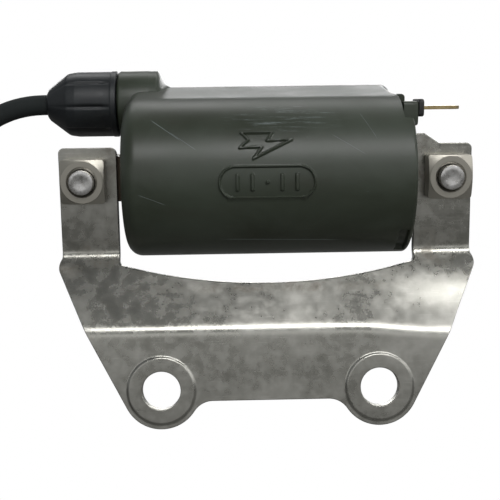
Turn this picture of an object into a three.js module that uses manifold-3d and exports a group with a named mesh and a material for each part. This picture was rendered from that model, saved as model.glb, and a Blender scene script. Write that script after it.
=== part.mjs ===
// Small-engine ignition coil on a sheet-steel bracket, with its high-tension lead and plug cap.
// Millimetres. +X runs along the coil towards the low-tension terminal, +Y away from the bracket's
// outer face and +Z up. The origin is on the bracket's rear face, midway between its two bolt holes.
import * as THREE from 'three';
import { mergeVertices } from 'three/addons/utils/BufferGeometryUtils.js';
import Module from 'manifold-3d';

const wasm = await Module();
wasm.setup();

// ---------------------------------------------------------------- driving dimensions (mm)
// Where the coil's axis stands over the bracket's bolt-hole line
const COIL_Y = 13.5;
const COIL_CLEARANCE = 30; // from the bolt holes' level up to the case
const COIL_SHIFT_X = 0.25; // the moulding sits a little off the middle of its core
const LEAN = THREE.MathUtils.degToRad(8); // the core, ears and bolts lean forward at the top

// Moulded case
const CASE_RADIUS = 18.9;
const CASE_LENGTH = 66.3;
const CASE_WALL = 2;
const CASE_END_WALL = 2.4;
const CASE_FILLET = 3.4;
const CASE_RIM = 0.8; // chamfer of the open end
const RIM_SLOT_LEFT = 3.3; // back from the open end
const RIM_SLOT_LENGTH = 2.2;
const RIM_SLOT_WIDTH = 8.6;
const RIM_SLOT_DEPTH = 1;
const RIM_SLOT_ANGLE = THREE.MathUtils.degToRad(61); // below level, at the front
const TOWER_Y = 11; // the tower and its rib stand behind the coil's axis
const TOWER_RISE = 0.1; // its axis, above the case's own top
const TOWER_RADIUS = 8.1;
const TOWER_OVERHANG = 2.8; // past the closed end of the case
const TOWER_LENGTH = 11.5;
const TOWER_NOSE = 2.6;
const RIB_RADIUS = 6.3;
const RIB_PROUD = 4.1; // above the case's own top
const RIB_MARGIN = 10; // how much shorter than the case it is
const RIB_END_SLOPE = 2.6;
const NIPPLE_RADIUS = 5.7;
const NIPPLE_LENGTH = 11;
const SPIKE_HOLE_DEPTH = 8;

// End cap and low-tension terminal
const END_RECESS = 0.5; // from the case's rim down to the cap's face
const END_THICK = 4.5;
const TERMINAL_Y = -5.9; // in the leaning frame
const TERMINAL_Z = 15.65;
const NOTCH_DEPTH = 2.25; // in the case's rim, where the boss comes through
const BOSS_WIDTH = 9;
const BOSS_HEIGHT = 5.6;
const BOSS_DROP = 1.2; // the boss's middle, below the blade
const BOSS_LENGTH = 1.95;
const COLLAR_WIDTH = 7.6;
const COLLAR_HEIGHT = 4;
const COLLAR_LENGTH = 1.3;
const BLADE_WIDTH = 6.3;
const BLADE_THICK = 0.8;
const BLADE_REACH = 8.3; // past the collar
const BLADE_TIP_CHAMFER = 1;
const BLADE_FIT = 0.15;
const BLADE_ROOT_STEP = 0.1; // each face of the blade's root, below the blade's own faces

// Core of stacked plates
const CORE_SIDE = 10.6;
const CORE_PLATES = 4;
const CORE_END = 5.7; // past each bolt's centre
const BOLT_MARGIN = 8.85; // from each end of the case to its bolt
const BOLT_DIAMETER = 6;
const BOLT_CLEARANCE = 0.3;

// Windings, as radii about the coil's axis
const PRIMARY_TUBE = 8.9;
const PRIMARY_WIRE = 11.2;
const PRIMARY_FLANGE = 11.6;
const SECONDARY_TUBE = 12.7;
const SECONDARY_WIRE = 15;
const SECONDARY_FLANGE = 15.5;
const SECONDARY_SECTIONS = 6;
const BOBBIN_MARGIN = 14.3; // how much shorter than the case they are
const BOBBIN_WALL = 1;
const RESIN_THICK = 0.9;
const LINK_RADIUS = 0.6;
const TONGUE_WIDTH = 3;
const TONGUE_THICK = 0.5;

// Lead, its seal and its screw cap
const LEAD_DIAMETER = 5;
const LEAD_CLEARANCE = 0.35;
const CAP_RADIUS = 7.9;
const CAP_LENGTH = 18.7;
const CAP_SKIRT = 1.3; // plain rim at the mouth
const CAP_SKIRT_PROUD = 0.25;
const CAP_NOSE_RADIUS = 3.5;
const CAP_NOSE_EDGE = 0.8;
const CAP_NOSE_LENGTH = 7.4;
const CAP_FLUTES = 8;
const FLUTE_DEPTH = 0.55;
const FLUTE_WIDTH = 1.2;
const FLUTE_START = THREE.MathUtils.degToRad(12);
const CAP_END_WALL = 4;
const SEAL_LENGTH = 2;
const WASHER_THICK = 0.5;
const SPIKE_RADIUS = 1.1;

// Bracket of pressed sheet
const PLATE = 2;
const BEND_RADIUS = 3; // at the middle of the sheet
const BEND_1_DROP = 18.6; // below the coil's axis
const BEND_2_DROP = 35.6;
const HOLE_SPACING = 49.2;
const HOLE_DIAMETER = 8.6;
const LOBE_RADIUS = 8.8;
const LOBE_FILLET = 5;
const PAD_RADIUS = 7.6;
const PAD_HEIGHT = 0.4;
const FLAT_EDGE = 2.6; // the lower edge, below the bolt holes
const FLANK_ANGLE = THREE.MathUtils.degToRad(27.5);
const SHOULDER_Z = 27.8; // widest level, above the bolt holes
const SHOULDER_RISE = 2; // from the widest level up to the ear's straight edge
const EAR_OUTSIDE = 6; // from the bolt to the ear's outer edge
const EAR_INSIDE = 7.4;
const EAR_TOP = 6.4; // above the coil's axis
const EAR_CORNER = 1.3;
const ARC_RADIUS = 134;
const ARC_DROP = 6.5; // from the case down to the cut-out's lowest level
const TAB_WIDTH = 3.4;
const TAB_HEIGHT = 2.3;

// Fasteners
const NUT_SIDE = 10;
const NUT_HEIGHT = 5;
const NUT_CHAMFER_RADIUS = 5.1;
const NUT_SINK = 0.7;
const BOLT_PROUD = 1.4; // past the nut
const BOLT_CHAMFER = 0.6;
const HEAD_FLATS = 10;
const HEAD_HEIGHT = 4;
const SPRING_WASHER_RADIUS = 5.1;
const SPRING_WASHER_THICK = 1.5;
const SPRING_WASHER_GAP = 0.8;
const FLAT_WASHER_RADIUS = 6;
const FLAT_WASHER_THICK = 1.2;

// The lead's way from its cut end in the tower, through the screw cap and down to its tied coil,
// as [x, z] steps from the middle of the cap's outer end
const LEAD_ROUTE = [
  [17, 0],
  [9.1, 0],
  [1.1, 0],
  [-3.4, -0.2],
  [-7.8, -1.1],
  [-12, -2.8],
  [-15.9, -5.3],
  [-19.3, -8.5],
  [-22.1, -12.3],
  [-24.2, -16.6],
  [-25.5, -21.1],
  [-26, -25.9],
  [-26, -31.3],
];

// Spare lead: two turns that hang in a Y-Z plane, tied where the lead comes down into them
const COIL_RADIUS = 27.5; // at the middle of its turns
const COIL_PITCH = 5.2;
const COIL_TURNS = 2;
const COIL_DROP = 49.9; // from the tower's axis down to the middle of the turns
const COIL_END_GAP = 18.2; // from the tie's level to where the straight lead clears the turns
const COIL_MARGIN = 0.1;
const TIE_WIDTH = 4;
const TIE_THICK = 1;

// Elbow plug cap on the lead's end
const TAIL_LENGTH = 26;
const ARM_RADIUS = 6.2;
const ARM_LENGTH = 30; // from the body's axis to the lead's way in
const ARM_LEAD_DEPTH = 15;
const PLUG_RADIUS = 8;
const PLUG_BACK = 9; // from the arm's axis to the closed end
const PLUG_FRONT = 35; // from the arm's axis to the socket's mouth
const SOCKET_RADIUS = 5.4;
const SOCKET_DEPTH = 22;
const CONTACT_OUTER = 3.4;
const CONTACT_INNER = 2.4;
const CONTACT_LENGTH = 8;
const RESISTOR_RADIUS = 2.5;
const RESISTOR_LENGTH = 14;
const PLUG_SPIKE_LENGTH = 12;
const BOOT_WALL = 2.2;
const BOOT_LENGTH = 14;
const BOOT_LIP = 3;
const BOOT_MOUTH_RADIUS = 5.6;
const LEAD_BOOT_WALL = 1.6;
const LEAD_BOOT_LENGTH = 14;
const LEAD_BOOT_GRIP = 7;

// Fits
const TOUCH = 0.3; // between faces that meet in a turned group or after a cut
const THIN_GAP = 0.15; // between turned parts that meet on one axis
const SLIDE_FIT = 0.3; // radial, for the screw cap on the tower's nipple
const CORE_FIT = 0.3; // around the core, each side

// Facets
const ROUND = 32;
const SMALL_ROUND = 16;
const BEND_STEPS = 6;

// ---------------------------------------------------------------- worked-out sizes
const COIL_Z = CASE_RADIUS + COIL_CLEARANCE;
const TOWER_Z = CASE_RADIUS + TOWER_RISE;
const RIB_TOP = CASE_RADIUS + RIB_PROUD;
const RIB_LENGTH = CASE_LENGTH - RIB_MARGIN;
const BOBBIN_LENGTH = CASE_LENGTH - BOBBIN_MARGIN;
const BOLT_SPACING = CASE_LENGTH + 2 * BOLT_MARGIN;
const EAR_OUTER = BOLT_SPACING / 2 + EAR_OUTSIDE;
const EAR_INNER = BOLT_SPACING / 2 - EAR_INSIDE;
const ARC_FLOOR = COIL_CLEARANCE - ARC_DROP; // above the bolt holes
const CASE_LEFT = COIL_SHIFT_X - CASE_LENGTH / 2;
const CASE_RIGHT = CASE_LEFT + CASE_LENGTH;
const CAVITY_RADIUS = CASE_RADIUS - CASE_WALL;
const CAVITY_LEFT = CASE_LEFT + CASE_END_WALL;
const END_CAP_RIGHT = CASE_RIGHT - END_RECESS;
const END_CAP_LEFT = END_CAP_RIGHT - END_THICK;
const NOTCH_LEFT = CASE_RIGHT - NOTCH_DEPTH;
const BOSS_LEFT = NOTCH_LEFT + TOUCH;
const BOBBIN_MIDDLE = (CAVITY_LEFT + END_CAP_LEFT) / 2;
const BOBBIN_LEFT = BOBBIN_MIDDLE - BOBBIN_LENGTH / 2;
const TOWER_LEFT = CASE_LEFT - TOWER_OVERHANG;
const NIPPLE_LEFT = TOWER_LEFT - NIPPLE_LENGTH;
const CAP_MOUTH = TOWER_LEFT - TOUCH;
const CAP_LEFT = CAP_MOUTH - CAP_LENGTH;
const CAP_SHOULDER = CAP_LEFT + CAP_END_WALL;
const CAP_BORE = NIPPLE_RADIUS + SLIDE_FIT;
const BOSS_RIGHT = END_CAP_RIGHT + BOSS_LENGTH;
const COLLAR_RIGHT = BOSS_RIGHT + THIN_GAP + COLLAR_LENGTH;
const RESIN_INNER = CAVITY_RADIUS - THIN_GAP - RESIN_THICK;
const LEAD_END = CAP_LEFT + LEAD_ROUTE[0][0];
const LEAD_RADIUS = LEAD_DIAMETER / 2;
const LEAD_BORE = LEAD_RADIUS + LEAD_CLEARANCE;
const SPIKE_RIGHT = TOWER_LEFT + SPIKE_HOLE_DEPTH;
const EAR_FRONT = -(CORE_SIDE / 2 + TOUCH + PLATE); // in the leaning frame
const NUT_FRONT = EAR_FRONT - TOUCH - NUT_HEIGHT;
const CORE_REAR = CORE_SIDE / 2;
const WASHER_REAR = CORE_REAR + TOUCH + FLAT_WASHER_THICK;
const SPRING_REAR = WASHER_REAR + TOUCH + SPRING_WASHER_THICK;
const HEAD_FRONT = SPRING_REAR + TOUCH;

// ---------------------------------------------------------------- finishes
const FINISH = {
  case: { color: 0x5a615a, roughness: 0.5, metalness: 0 },
  rubber: { color: 0x1d2123, roughness: 0.6, metalness: 0 },
  steel: { color: 0x8d8c84, roughness: 0.45, metalness: 0.9 },
  zinc: { color: 0xa3a097, roughness: 0.35, metalness: 0.9 },
  brass: { color: 0xb08d4a, roughness: 0.4, metalness: 0.9 },
  copper: { color: 0xa5552f, roughness: 0.4, metalness: 0.9 },
  core: { color: 0x4c4438, roughness: 0.6, metalness: 0.6 },
  bobbin: { color: 0xb9ad8d, roughness: 0.6, metalness: 0 },
  resin: { color: 0x3b3427, roughness: 0.3, metalness: 0 },
  ceramic: { color: 0xd9d3c4, roughness: 0.4, metalness: 0 },
  tie: { color: 0x16181a, roughness: 0.5, metalness: 0 },
};

// ---------------------------------------------------------------- shape helpers
// A closed mesh as a solid that can be joined and cut.
function toSolid(geometry) {
  const bare = new THREE.BufferGeometry();
  bare.setAttribute('position', geometry.attributes.position.clone());
  if (geometry.index) bare.setIndex(geometry.index.clone());
  const merged = mergeVertices(bare, 1e-4);
  const faces = [];
  const index = merged.index.array;
  for (let i = 0; i < index.length; i += 3) {
    const [a, b, c] = [index[i], index[i + 1], index[i + 2]];
    if (a !== b && b !== c && c !== a) faces.push(a, b, c);
  }
  const vertProperties = new Float32Array(merged.attributes.position.array);
  return new wasm.Manifold(new wasm.Mesh({ numProp: 3, vertProperties, triVerts: new Uint32Array(faces) }));
}

function toGeometry(solid) {
  const mesh = solid.getMesh();
  const geometry = new THREE.BufferGeometry();
  geometry.setAttribute('position', new THREE.BufferAttribute(mesh.vertProperties, 3));
  geometry.setIndex(new THREE.BufferAttribute(mesh.triVerts, 1));
  geometry.computeVertexNormals();
  return geometry;
}

function join(...geometries) {
  return toGeometry(geometries.map(toSolid).reduce((whole, piece) => whole.add(piece)));
}

function cut(base, ...tools) {
  return toGeometry(tools.map(toSolid).reduce((whole, tool) => whole.subtract(tool), toSolid(base)));
}

function intersect(first, second) {
  return toGeometry(toSolid(first).intersect(toSolid(second)));
}

// A body of revolution about X. The profile is a list of [x, radius], with x rising.
function turned(profile, facets = ROUND) {
  const points = profile.map(([x, radius]) => new THREE.Vector2(radius, x));
  return new THREE.LatheGeometry(points, facets).rotateZ(-Math.PI / 2);
}

function rod(left, right, radius, facets = ROUND) {
  return turned([[left, 0], [left, radius], [right, radius], [right, 0]], facets);
}

function ring(left, right, inner, outer, facets = ROUND) {
  const profile = [[left, inner], [left, outer], [right, outer], [right, inner], [left, inner]];
  return turned(profile, facets);
}

// A tube's hollow or ring drawn as a closed profile of [x, radius], outer side first.
function sleeve(profile, facets = ROUND) {
  return turned([...profile, profile[0]], facets);
}

// A shape drawn in X and Z, pressed out along +Y from the given depth.
function pressed(shape, front, thickness, curveSegments = ROUND / 4) {
  const settings = { depth: thickness, bevelEnabled: false, curveSegments };
  return new THREE.ExtrudeGeometry(shape, settings).rotateX(Math.PI / 2).translate(0, front + thickness, 0);
}

function block(low, high) {
  const size = high.map((value, axis) => value - low[axis]);
  const middle = high.map((value, axis) => (value + low[axis]) / 2);
  return new THREE.BoxGeometry(...size).translate(...middle);
}

function polygon(corners) {
  return new THREE.Shape(corners.map(([x, z]) => new THREE.Vector2(x, z)));
}

function named(name, finish, geometry) {
  const mesh = new THREE.Mesh(geometry, new THREE.MeshStandardMaterial(FINISH[finish]));
  mesh.name = name;
  return mesh;
}

// ---------------------------------------------------------------- frames
const group = new THREE.Group();

// Upright frame with X along the coil's axis
const coil = new THREE.Group();
coil.position.set(0, COIL_Y, COIL_Z);

// The same axis, leaning with the core, ears and bolts
const leaning = new THREE.Group();
leaning.position.copy(coil.position);
leaning.rotation.x = LEAN;

// The tower's own axis
const tower = new THREE.Group();
tower.position.set(0, COIL_Y + TOWER_Y, COIL_Z + TOWER_Z);

group.add(coil, leaning, tower);

// ---------------------------------------------------------------- moulded case
// The outer skin: a cylinder with a rounded closed end on the left.
function caseSkin() {
  const profile = [[CASE_LEFT, 0]];
  for (let i = 0; i <= BEND_STEPS; i++) {
    const angle = (i / BEND_STEPS) * (Math.PI / 2);
    const x = CASE_LEFT + CASE_FILLET * (1 - Math.cos(angle));
    profile.push([x, CASE_RADIUS - CASE_FILLET * (1 - Math.sin(angle))]);
  }
  profile.push([CASE_RIGHT - CASE_RIM, CASE_RADIUS], [CASE_RIGHT, CASE_RADIUS - CASE_RIM]);
  return turned([...profile, [CASE_RIGHT, 0]]);
}

// The high-tension outlet: a short round tower with a nipple for the screw cap.
function towerSkin() {
  const end = TOWER_LEFT + TOWER_LENGTH;
  const nose = TOWER_NOSE / 3;
  return turned([
    [NIPPLE_LEFT, 0],
    [NIPPLE_LEFT, NIPPLE_RADIUS],
    [TOWER_LEFT, NIPPLE_RADIUS],
    [TOWER_LEFT, TOWER_RADIUS],
    [end - TOWER_NOSE, TOWER_RADIUS],
    [end - nose, TOWER_RADIUS - nose],
    [end, TOWER_RADIUS - TOWER_NOSE],
    [end, 0],
  ]).translate(0, TOWER_Y, TOWER_Z);
}

// The rib that carries the outlet along the top of the case.
function ribSkin() {
  const left = TOWER_LEFT + TOWER_NOSE;
  const right = TOWER_LEFT + TOWER_LENGTH + RIB_LENGTH;
  return turned([
    [left, 0],
    [left, RIB_RADIUS],
    [right - RIB_END_SLOPE, RIB_RADIUS],
    [right, RIB_RADIUS - RIB_END_SLOPE],
    [right, 0],
  ], SMALL_ROUND).translate(0, TOWER_Y, RIB_TOP - RIB_RADIUS);
}

// The rib's front, filled in flat from the case's top to the rib's.
function ribFlank() {
  const middle = new THREE.Vector2(TOWER_Y, RIB_TOP - RIB_RADIUS);
  const swing = Math.acos((CASE_RADIUS - RIB_RADIUS) / middle.length());
  const facing = middle.angle() + swing;
  const out = new THREE.Vector2(Math.cos(facing), Math.sin(facing));
  const onCase = out.clone().multiplyScalar(CASE_RADIUS);
  const onRib = out.clone().multiplyScalar(RIB_RADIUS).add(middle);
  const shape = new THREE.Shape([onCase, new THREE.Vector2(), middle, onRib]);
  const length = RIB_LENGTH - RIB_END_SLOPE;
  const flank = new THREE.ExtrudeGeometry(shape, { depth: length, bevelEnabled: false });
  return flank.rotateX(Math.PI / 2).rotateZ(Math.PI / 2).translate(TOWER_LEFT + TOWER_LENGTH, 0, 0);
}

// A shallow slot across the rim, low at the front.
function rimSlot() {
  const left = CASE_RIGHT - RIM_SLOT_LEFT;
  const floor = CASE_RADIUS - RIM_SLOT_DEPTH;
  const low = [left, -RIM_SLOT_WIDTH / 2, floor];
  const slot = block(low, [left + RIM_SLOT_LENGTH, RIM_SLOT_WIDTH / 2, CASE_RADIUS + 1]);
  return slot.rotateX(Math.PI / 2 + RIM_SLOT_ANGLE);
}

// The notch that the terminal's boss comes through.
function rimNotch() {
  const width = BOSS_WIDTH + 2 * TOUCH;
  const height = 2 * BOSS_HEIGHT;
  return terminalBlock(NOTCH_LEFT, CASE_RIGHT + 1, width, height).rotateX(LEAN);
}

// The square hole that the core passes through, turned to the core's lean.
function coreHole(left, right) {
  const half = CORE_SIDE / 2 + CORE_FIT;
  return block([left, -half, -half], [right, half, half]).rotateX(LEAN);
}

// A pin from the secondary winding straight out to the tower's axis.
function linkPin(radius, inner, outer) {
  const pin = new THREE.CylinderGeometry(radius, radius, outer - inner, SMALL_ROUND / 2);
  pin.translate(SPIKE_RIGHT - LINK_RADIUS, (inner + outer) / 2, 0);
  return pin.rotateX(Math.atan2(TOWER_Z, TOWER_Y));
}

function linkHole() {
  return linkPin(LINK_RADIUS + THIN_GAP, SECONDARY_FLANGE, Math.hypot(TOWER_Y, TOWER_Z));
}

function coilCase() {
  const leadBore = rod(NIPPLE_LEFT - 1, LEAD_END + THIN_GAP, LEAD_BORE, SMALL_ROUND);
  const spikeBore = rod(NIPPLE_LEFT, SPIKE_RIGHT + THIN_GAP, SPIKE_RADIUS + THIN_GAP, SMALL_ROUND);
  for (const bore of [leadBore, spikeBore]) bore.translate(0, TOWER_Y, TOWER_Z);
  const cavity = rod(CAVITY_LEFT, CASE_RIGHT + 1, CAVITY_RADIUS);
  const core = coreHole(CASE_LEFT - 1, CAVITY_LEFT + 1);
  const skin = join(caseSkin(), towerSkin(), ribSkin(), ribFlank());
  return cut(skin, cavity, core, leadBore, spikeBore, linkHole(), rimSlot(), rimNotch());
}

// ---------------------------------------------------------------- end cap and terminal
// A flat bar across the terminal's place, from one X to another.
function terminalBlock(left, right, width, height, drop = 0) {
  const z = TERMINAL_Z - drop;
  const low = [left, TERMINAL_Y - width / 2, z - height / 2];
  return block(low, [right, TERMINAL_Y + width / 2, z + height / 2]);
}

function bladeSlot() {
  const width = BLADE_WIDTH + 2 * BLADE_FIT;
  const height = BLADE_THICK + 2 * BLADE_FIT;
  return terminalBlock(BOSS_LEFT + TOUCH, COLLAR_RIGHT + 1, width, height);
}

// The wire from the blade's foot down to the end of the primary winding.
function terminalWire(radius) {
  const footZ = TERMINAL_Z - BLADE_THICK - LINK_RADIUS;
  const foot = new THREE.Vector3(BOSS_LEFT + 2 * LINK_RADIUS, TERMINAL_Y, footZ);
  const end = new THREE.Vector3(BOBBIN_LEFT + BOBBIN_LENGTH + LINK_RADIUS, TERMINAL_Y / 2, PRIMARY_WIRE - 1);
  const along = foot.clone().sub(end);
  const wire = new THREE.CylinderGeometry(radius, radius, along.length(), SMALL_ROUND / 2);
  const up = new THREE.Vector3(0, 1, 0);
  wire.applyQuaternion(new THREE.Quaternion().setFromUnitVectors(up, along.normalize()));
  const middle = foot.add(end).multiplyScalar(0.5);
  return wire.translate(...middle);
}

function endCap() {
  const lid = rod(END_CAP_LEFT, END_CAP_RIGHT, CAVITY_RADIUS - THIN_GAP);
  const boss = terminalBlock(BOSS_LEFT, BOSS_RIGHT, BOSS_WIDTH, BOSS_HEIGHT, BOSS_DROP).rotateX(LEAN);
  const core = coreHole(END_CAP_LEFT - 1, END_CAP_RIGHT + 1);
  const wire = terminalWire(LINK_RADIUS + THIN_GAP).rotateX(LEAN);
  return cut(join(lid, boss), core, bladeSlot().rotateX(LEAN), wire);
}

function terminalCollar() {
  const left = BOSS_RIGHT + THIN_GAP;
  return cut(terminalBlock(left, COLLAR_RIGHT, COLLAR_WIDTH, COLLAR_HEIGHT), bladeSlot());
}

function terminalBlade() {
  const half = BLADE_WIDTH / 2;
  const left = COLLAR_RIGHT + TOUCH;
  const right = COLLAR_RIGHT + BLADE_REACH;
  const chamfer = BLADE_TIP_CHAMFER;
  const shape = polygon([
    [left, -half],
    [right - chamfer, -half],
    [right, -half + chamfer],
    [right, half - chamfer],
    [right - chamfer, half],
    [left, half],
  ]);
  const flat = new THREE.ExtrudeGeometry(shape, { depth: BLADE_THICK, bevelEnabled: false });
  flat.translate(0, TERMINAL_Y, TERMINAL_Z - BLADE_THICK / 2);
  const rootHalf = half - BLADE_ROOT_STEP;
  const rootRise = BLADE_THICK / 2 - BLADE_ROOT_STEP;
  const root = block(
    [BOSS_LEFT + TOUCH + THIN_GAP, TERMINAL_Y - rootHalf, TERMINAL_Z - rootRise],
    [left + 1, TERMINAL_Y + rootHalf, TERMINAL_Z + rootRise],
  );
  return join(flat, root);
}

coil.add(named('coil_case', 'case', coilCase()), named('end_cap', 'case', endCap()));
leaning.add(
  named('terminal_collar', 'rubber', terminalCollar()),
  named('terminal_blade', 'brass', terminalBlade()),
  named('terminal_wire', 'copper', terminalWire(LINK_RADIUS)),
);

// ---------------------------------------------------------------- core and windings
const BOLTS = [['left', -BOLT_SPACING / 2], ['right', BOLT_SPACING / 2]];

function roundHole(x, z, radius) {
  return new THREE.Path().absarc(x, z, radius, 0, 2 * Math.PI, true);
}

function corePlate(number) {
  const thick = (CORE_SIDE - (CORE_PLATES - 1) * TOUCH) / CORE_PLATES;
  const end = BOLT_SPACING / 2 + CORE_END;
  const half = CORE_SIDE / 2;
  const shape = polygon([[-end, -half], [end, -half], [end, half], [-end, half]]);
  for (const [, x] of BOLTS) shape.holes.push(roundHole(x, 0, BOLT_DIAMETER / 2 + BOLT_CLEARANCE));
  return pressed(shape, -half + number * (thick + TOUCH), thick, SMALL_ROUND / 2);
}

for (let i = 0; i < CORE_PLATES; i++) leaning.add(named(`core_plate_${i + 1}`, 'core', corePlate(i)));

function coreTunnel(left, right) {
  const half = CORE_SIDE / 2 + CORE_FIT;
  return block([left - 1, -half, -half], [right + 1, half, half]);
}

function primaryBobbin() {
  const right = BOBBIN_LEFT + BOBBIN_LENGTH;
  const tube = rod(BOBBIN_LEFT, right, PRIMARY_TUBE);
  const leftFlange = rod(BOBBIN_LEFT, BOBBIN_LEFT + BOBBIN_WALL, PRIMARY_FLANGE);
  const rightFlange = rod(right - BOBBIN_WALL, right, PRIMARY_FLANGE);
  return cut(join(tube, leftFlange, rightFlange), coreTunnel(BOBBIN_LEFT, right));
}

function primaryWinding() {
  const left = BOBBIN_LEFT + BOBBIN_WALL + THIN_GAP;
  const right = BOBBIN_LEFT + BOBBIN_LENGTH - BOBBIN_WALL - THIN_GAP;
  return ring(left, right, PRIMARY_TUBE + THIN_GAP, PRIMARY_WIRE);
}

const SECTION_PITCH = (BOBBIN_LENGTH - BOBBIN_WALL) / SECONDARY_SECTIONS;

// One closed outline: the tube, and a flange between each pair of winding sections.
function secondaryBobbin() {
  const profile = [];
  for (let i = 0; i <= SECONDARY_SECTIONS; i++) {
    const left = BOBBIN_LEFT + i * SECTION_PITCH;
    const right = left + BOBBIN_WALL;
    if (i > 0) profile.push([left, SECONDARY_TUBE]);
    profile.push([left, SECONDARY_FLANGE], [right, SECONDARY_FLANGE]);
    if (i < SECONDARY_SECTIONS) profile.push([right, SECONDARY_TUBE]);
  }
  const inner = PRIMARY_FLANGE + THIN_GAP;
  return sleeve([[BOBBIN_LEFT, inner], ...profile, [BOBBIN_LEFT + BOBBIN_LENGTH, inner]]);
}

function secondaryWinding(section) {
  const left = BOBBIN_LEFT + section * SECTION_PITCH + BOBBIN_WALL + THIN_GAP;
  const right = BOBBIN_LEFT + (section + 1) * SECTION_PITCH - THIN_GAP;
  return ring(left, right, SECONDARY_TUBE + THIN_GAP, SECONDARY_WIRE);
}

function pottingResin() {
  const shell = ring(BOBBIN_LEFT, BOBBIN_LEFT + BOBBIN_LENGTH, RESIN_INNER, RESIN_INNER + RESIN_THICK);
  return cut(shell, linkHole());
}

// Bare tongue that earths the primary winding on the core.
function earthTongue() {
  const right = BOBBIN_LEFT - THIN_GAP;
  const low = CORE_SIDE / 2 + CORE_FIT + THIN_GAP;
  const half = TONGUE_WIDTH / 2;
  return block([right - TONGUE_THICK, -half, low], [right, half, PRIMARY_WIRE]);
}

leaning.add(
  named('primary_bobbin', 'bobbin', primaryBobbin()),
  named('primary_winding', 'copper', primaryWinding()),
  named('secondary_bobbin', 'bobbin', secondaryBobbin()),
  named('earth_tongue', 'brass', earthTongue()),
);
for (let i = 0; i < SECONDARY_SECTIONS; i++) {
  leaning.add(named(`secondary_winding_${i + 1}`, 'copper', secondaryWinding(i)));
}
const LINK_OUTER = Math.hypot(TOWER_Y, TOWER_Z) - SPIKE_RADIUS - THIN_GAP;
coil.add(
  named('potting_resin', 'resin', pottingResin()),
  named('secondary_link', 'brass', linkPin(LINK_RADIUS, SECONDARY_FLANGE + THIN_GAP, LINK_OUTER)),
);

// ---------------------------------------------------------------- lead outlet
// Screw on the tower's axis that the lead's core is pushed onto.
function towerSpike() {
  const left = LEAD_END + THIN_GAP;
  const right = SPIKE_RIGHT;
  return turned([[left, 0], [left + 1, SPIKE_RADIUS], [right, SPIKE_RADIUS], [right, 0]], SMALL_ROUND);
}

function leadSeal() {
  const right = NIPPLE_LEFT - THIN_GAP;
  return ring(right - SEAL_LENGTH, right, LEAD_BORE, NIPPLE_RADIUS, SMALL_ROUND);
}

function capWasher() {
  const left = CAP_SHOULDER + THIN_GAP;
  return ring(left, left + WASHER_THICK, LEAD_BORE, NIPPLE_RADIUS, SMALL_ROUND);
}

// Screw cap with a tapered nose, a plain skirt and lengthwise flutes.
function leadCap() {
  const skirt = CAP_RADIUS + CAP_SKIRT_PROUD;
  const cap = sleeve([
    [CAP_LEFT, LEAD_BORE],
    [CAP_LEFT, CAP_NOSE_RADIUS],
    [CAP_LEFT + CAP_NOSE_EDGE, CAP_NOSE_RADIUS + CAP_NOSE_EDGE],
    [CAP_LEFT + CAP_NOSE_LENGTH, CAP_RADIUS],
    [CAP_MOUTH - CAP_SKIRT, CAP_RADIUS],
    [CAP_MOUTH - CAP_SKIRT, skirt],
    [CAP_MOUTH, skirt],
    [CAP_MOUTH, CAP_BORE],
    [CAP_SHOULDER, CAP_BORE],
    [CAP_SHOULDER, LEAD_BORE],
  ]);
  return cut(cap, ...flutes());
}

function flutes() {
  const cutters = [];
  const low = [CAP_LEFT + CAP_NOSE_LENGTH - 1, -FLUTE_WIDTH / 2, CAP_RADIUS - FLUTE_DEPTH];
  const high = [CAP_MOUTH - 2 * CAP_SKIRT, FLUTE_WIDTH / 2, CAP_RADIUS + 1];
  for (let i = 0; i < CAP_FLUTES; i++) {
    cutters.push(block(low, high).rotateX(Math.PI / 2 - FLUTE_START + (i / CAP_FLUTES) * 2 * Math.PI));
  }
  return cutters;
}

tower.add(
  named('tower_spike', 'brass', towerSpike()),
  named('lead_seal', 'rubber', leadSeal()),
  named('cap_washer', 'brass', capWasher()),
  named('lead_cap', 'rubber', leadCap()),
);

// ---------------------------------------------------------------- bracket
// Points on an arc in the bracket's own plane, from one angle to another.
function arc(x, z, radius, from, to, steps = BEND_STEPS) {
  return Array.from({ length: steps + 1 }, (_, i) => {
    const angle = from + ((to - from) * i) / steps;
    return [x + radius * Math.cos(angle), z + radius * Math.sin(angle)];
  });
}

// The blank's right half, from the middle of its lower edge up round to the middle of the cut-out.
function rightHalf() {
  const hole = HOLE_SPACING / 2;
  const reach = LOBE_RADIUS + LOBE_FILLET;
  const filletDrop = FLAT_EDGE + LOBE_FILLET;
  const filletX = hole - Math.sqrt(reach ** 2 - filletDrop ** 2);
  const meet = Math.atan2(-filletDrop, filletX - hole);
  const tangentX = hole + LOBE_RADIUS * Math.cos(FLANK_ANGLE);
  const tangentZ = -LOBE_RADIUS * Math.sin(FLANK_ANGLE);
  const shoulderX = tangentX + Math.tan(FLANK_ANGLE) * (SHOULDER_Z - tangentZ);
  const top = COIL_Z + EAR_TOP;
  const corner = EAR_CORNER;
  const cutAngle = Math.asin(EAR_INNER / ARC_RADIUS);
  return [
    ...arc(filletX, -filletDrop, LOBE_FILLET, Math.PI / 2, meet + Math.PI),
    ...arc(hole, 0, LOBE_RADIUS, meet, -FLANK_ANGLE, 2 * BEND_STEPS),
    [shoulderX, SHOULDER_Z],
    [EAR_OUTER, SHOULDER_Z + SHOULDER_RISE],
    ...arc(EAR_OUTER - corner, top - corner, corner, 0, Math.PI / 2),
    ...arc(EAR_INNER + corner, top - corner, corner, Math.PI / 2, Math.PI),
    ...arc(0, ARC_FLOOR + ARC_RADIUS, ARC_RADIUS, cutAngle - Math.PI / 2, -Math.PI / 2),
  ];
}

function blankShape() {
  const right = rightHalf();
  const left = right.slice(0, -1).reverse().map(([x, z]) => [-x, z]);
  return polygon([...right, ...left]);
}

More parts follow.
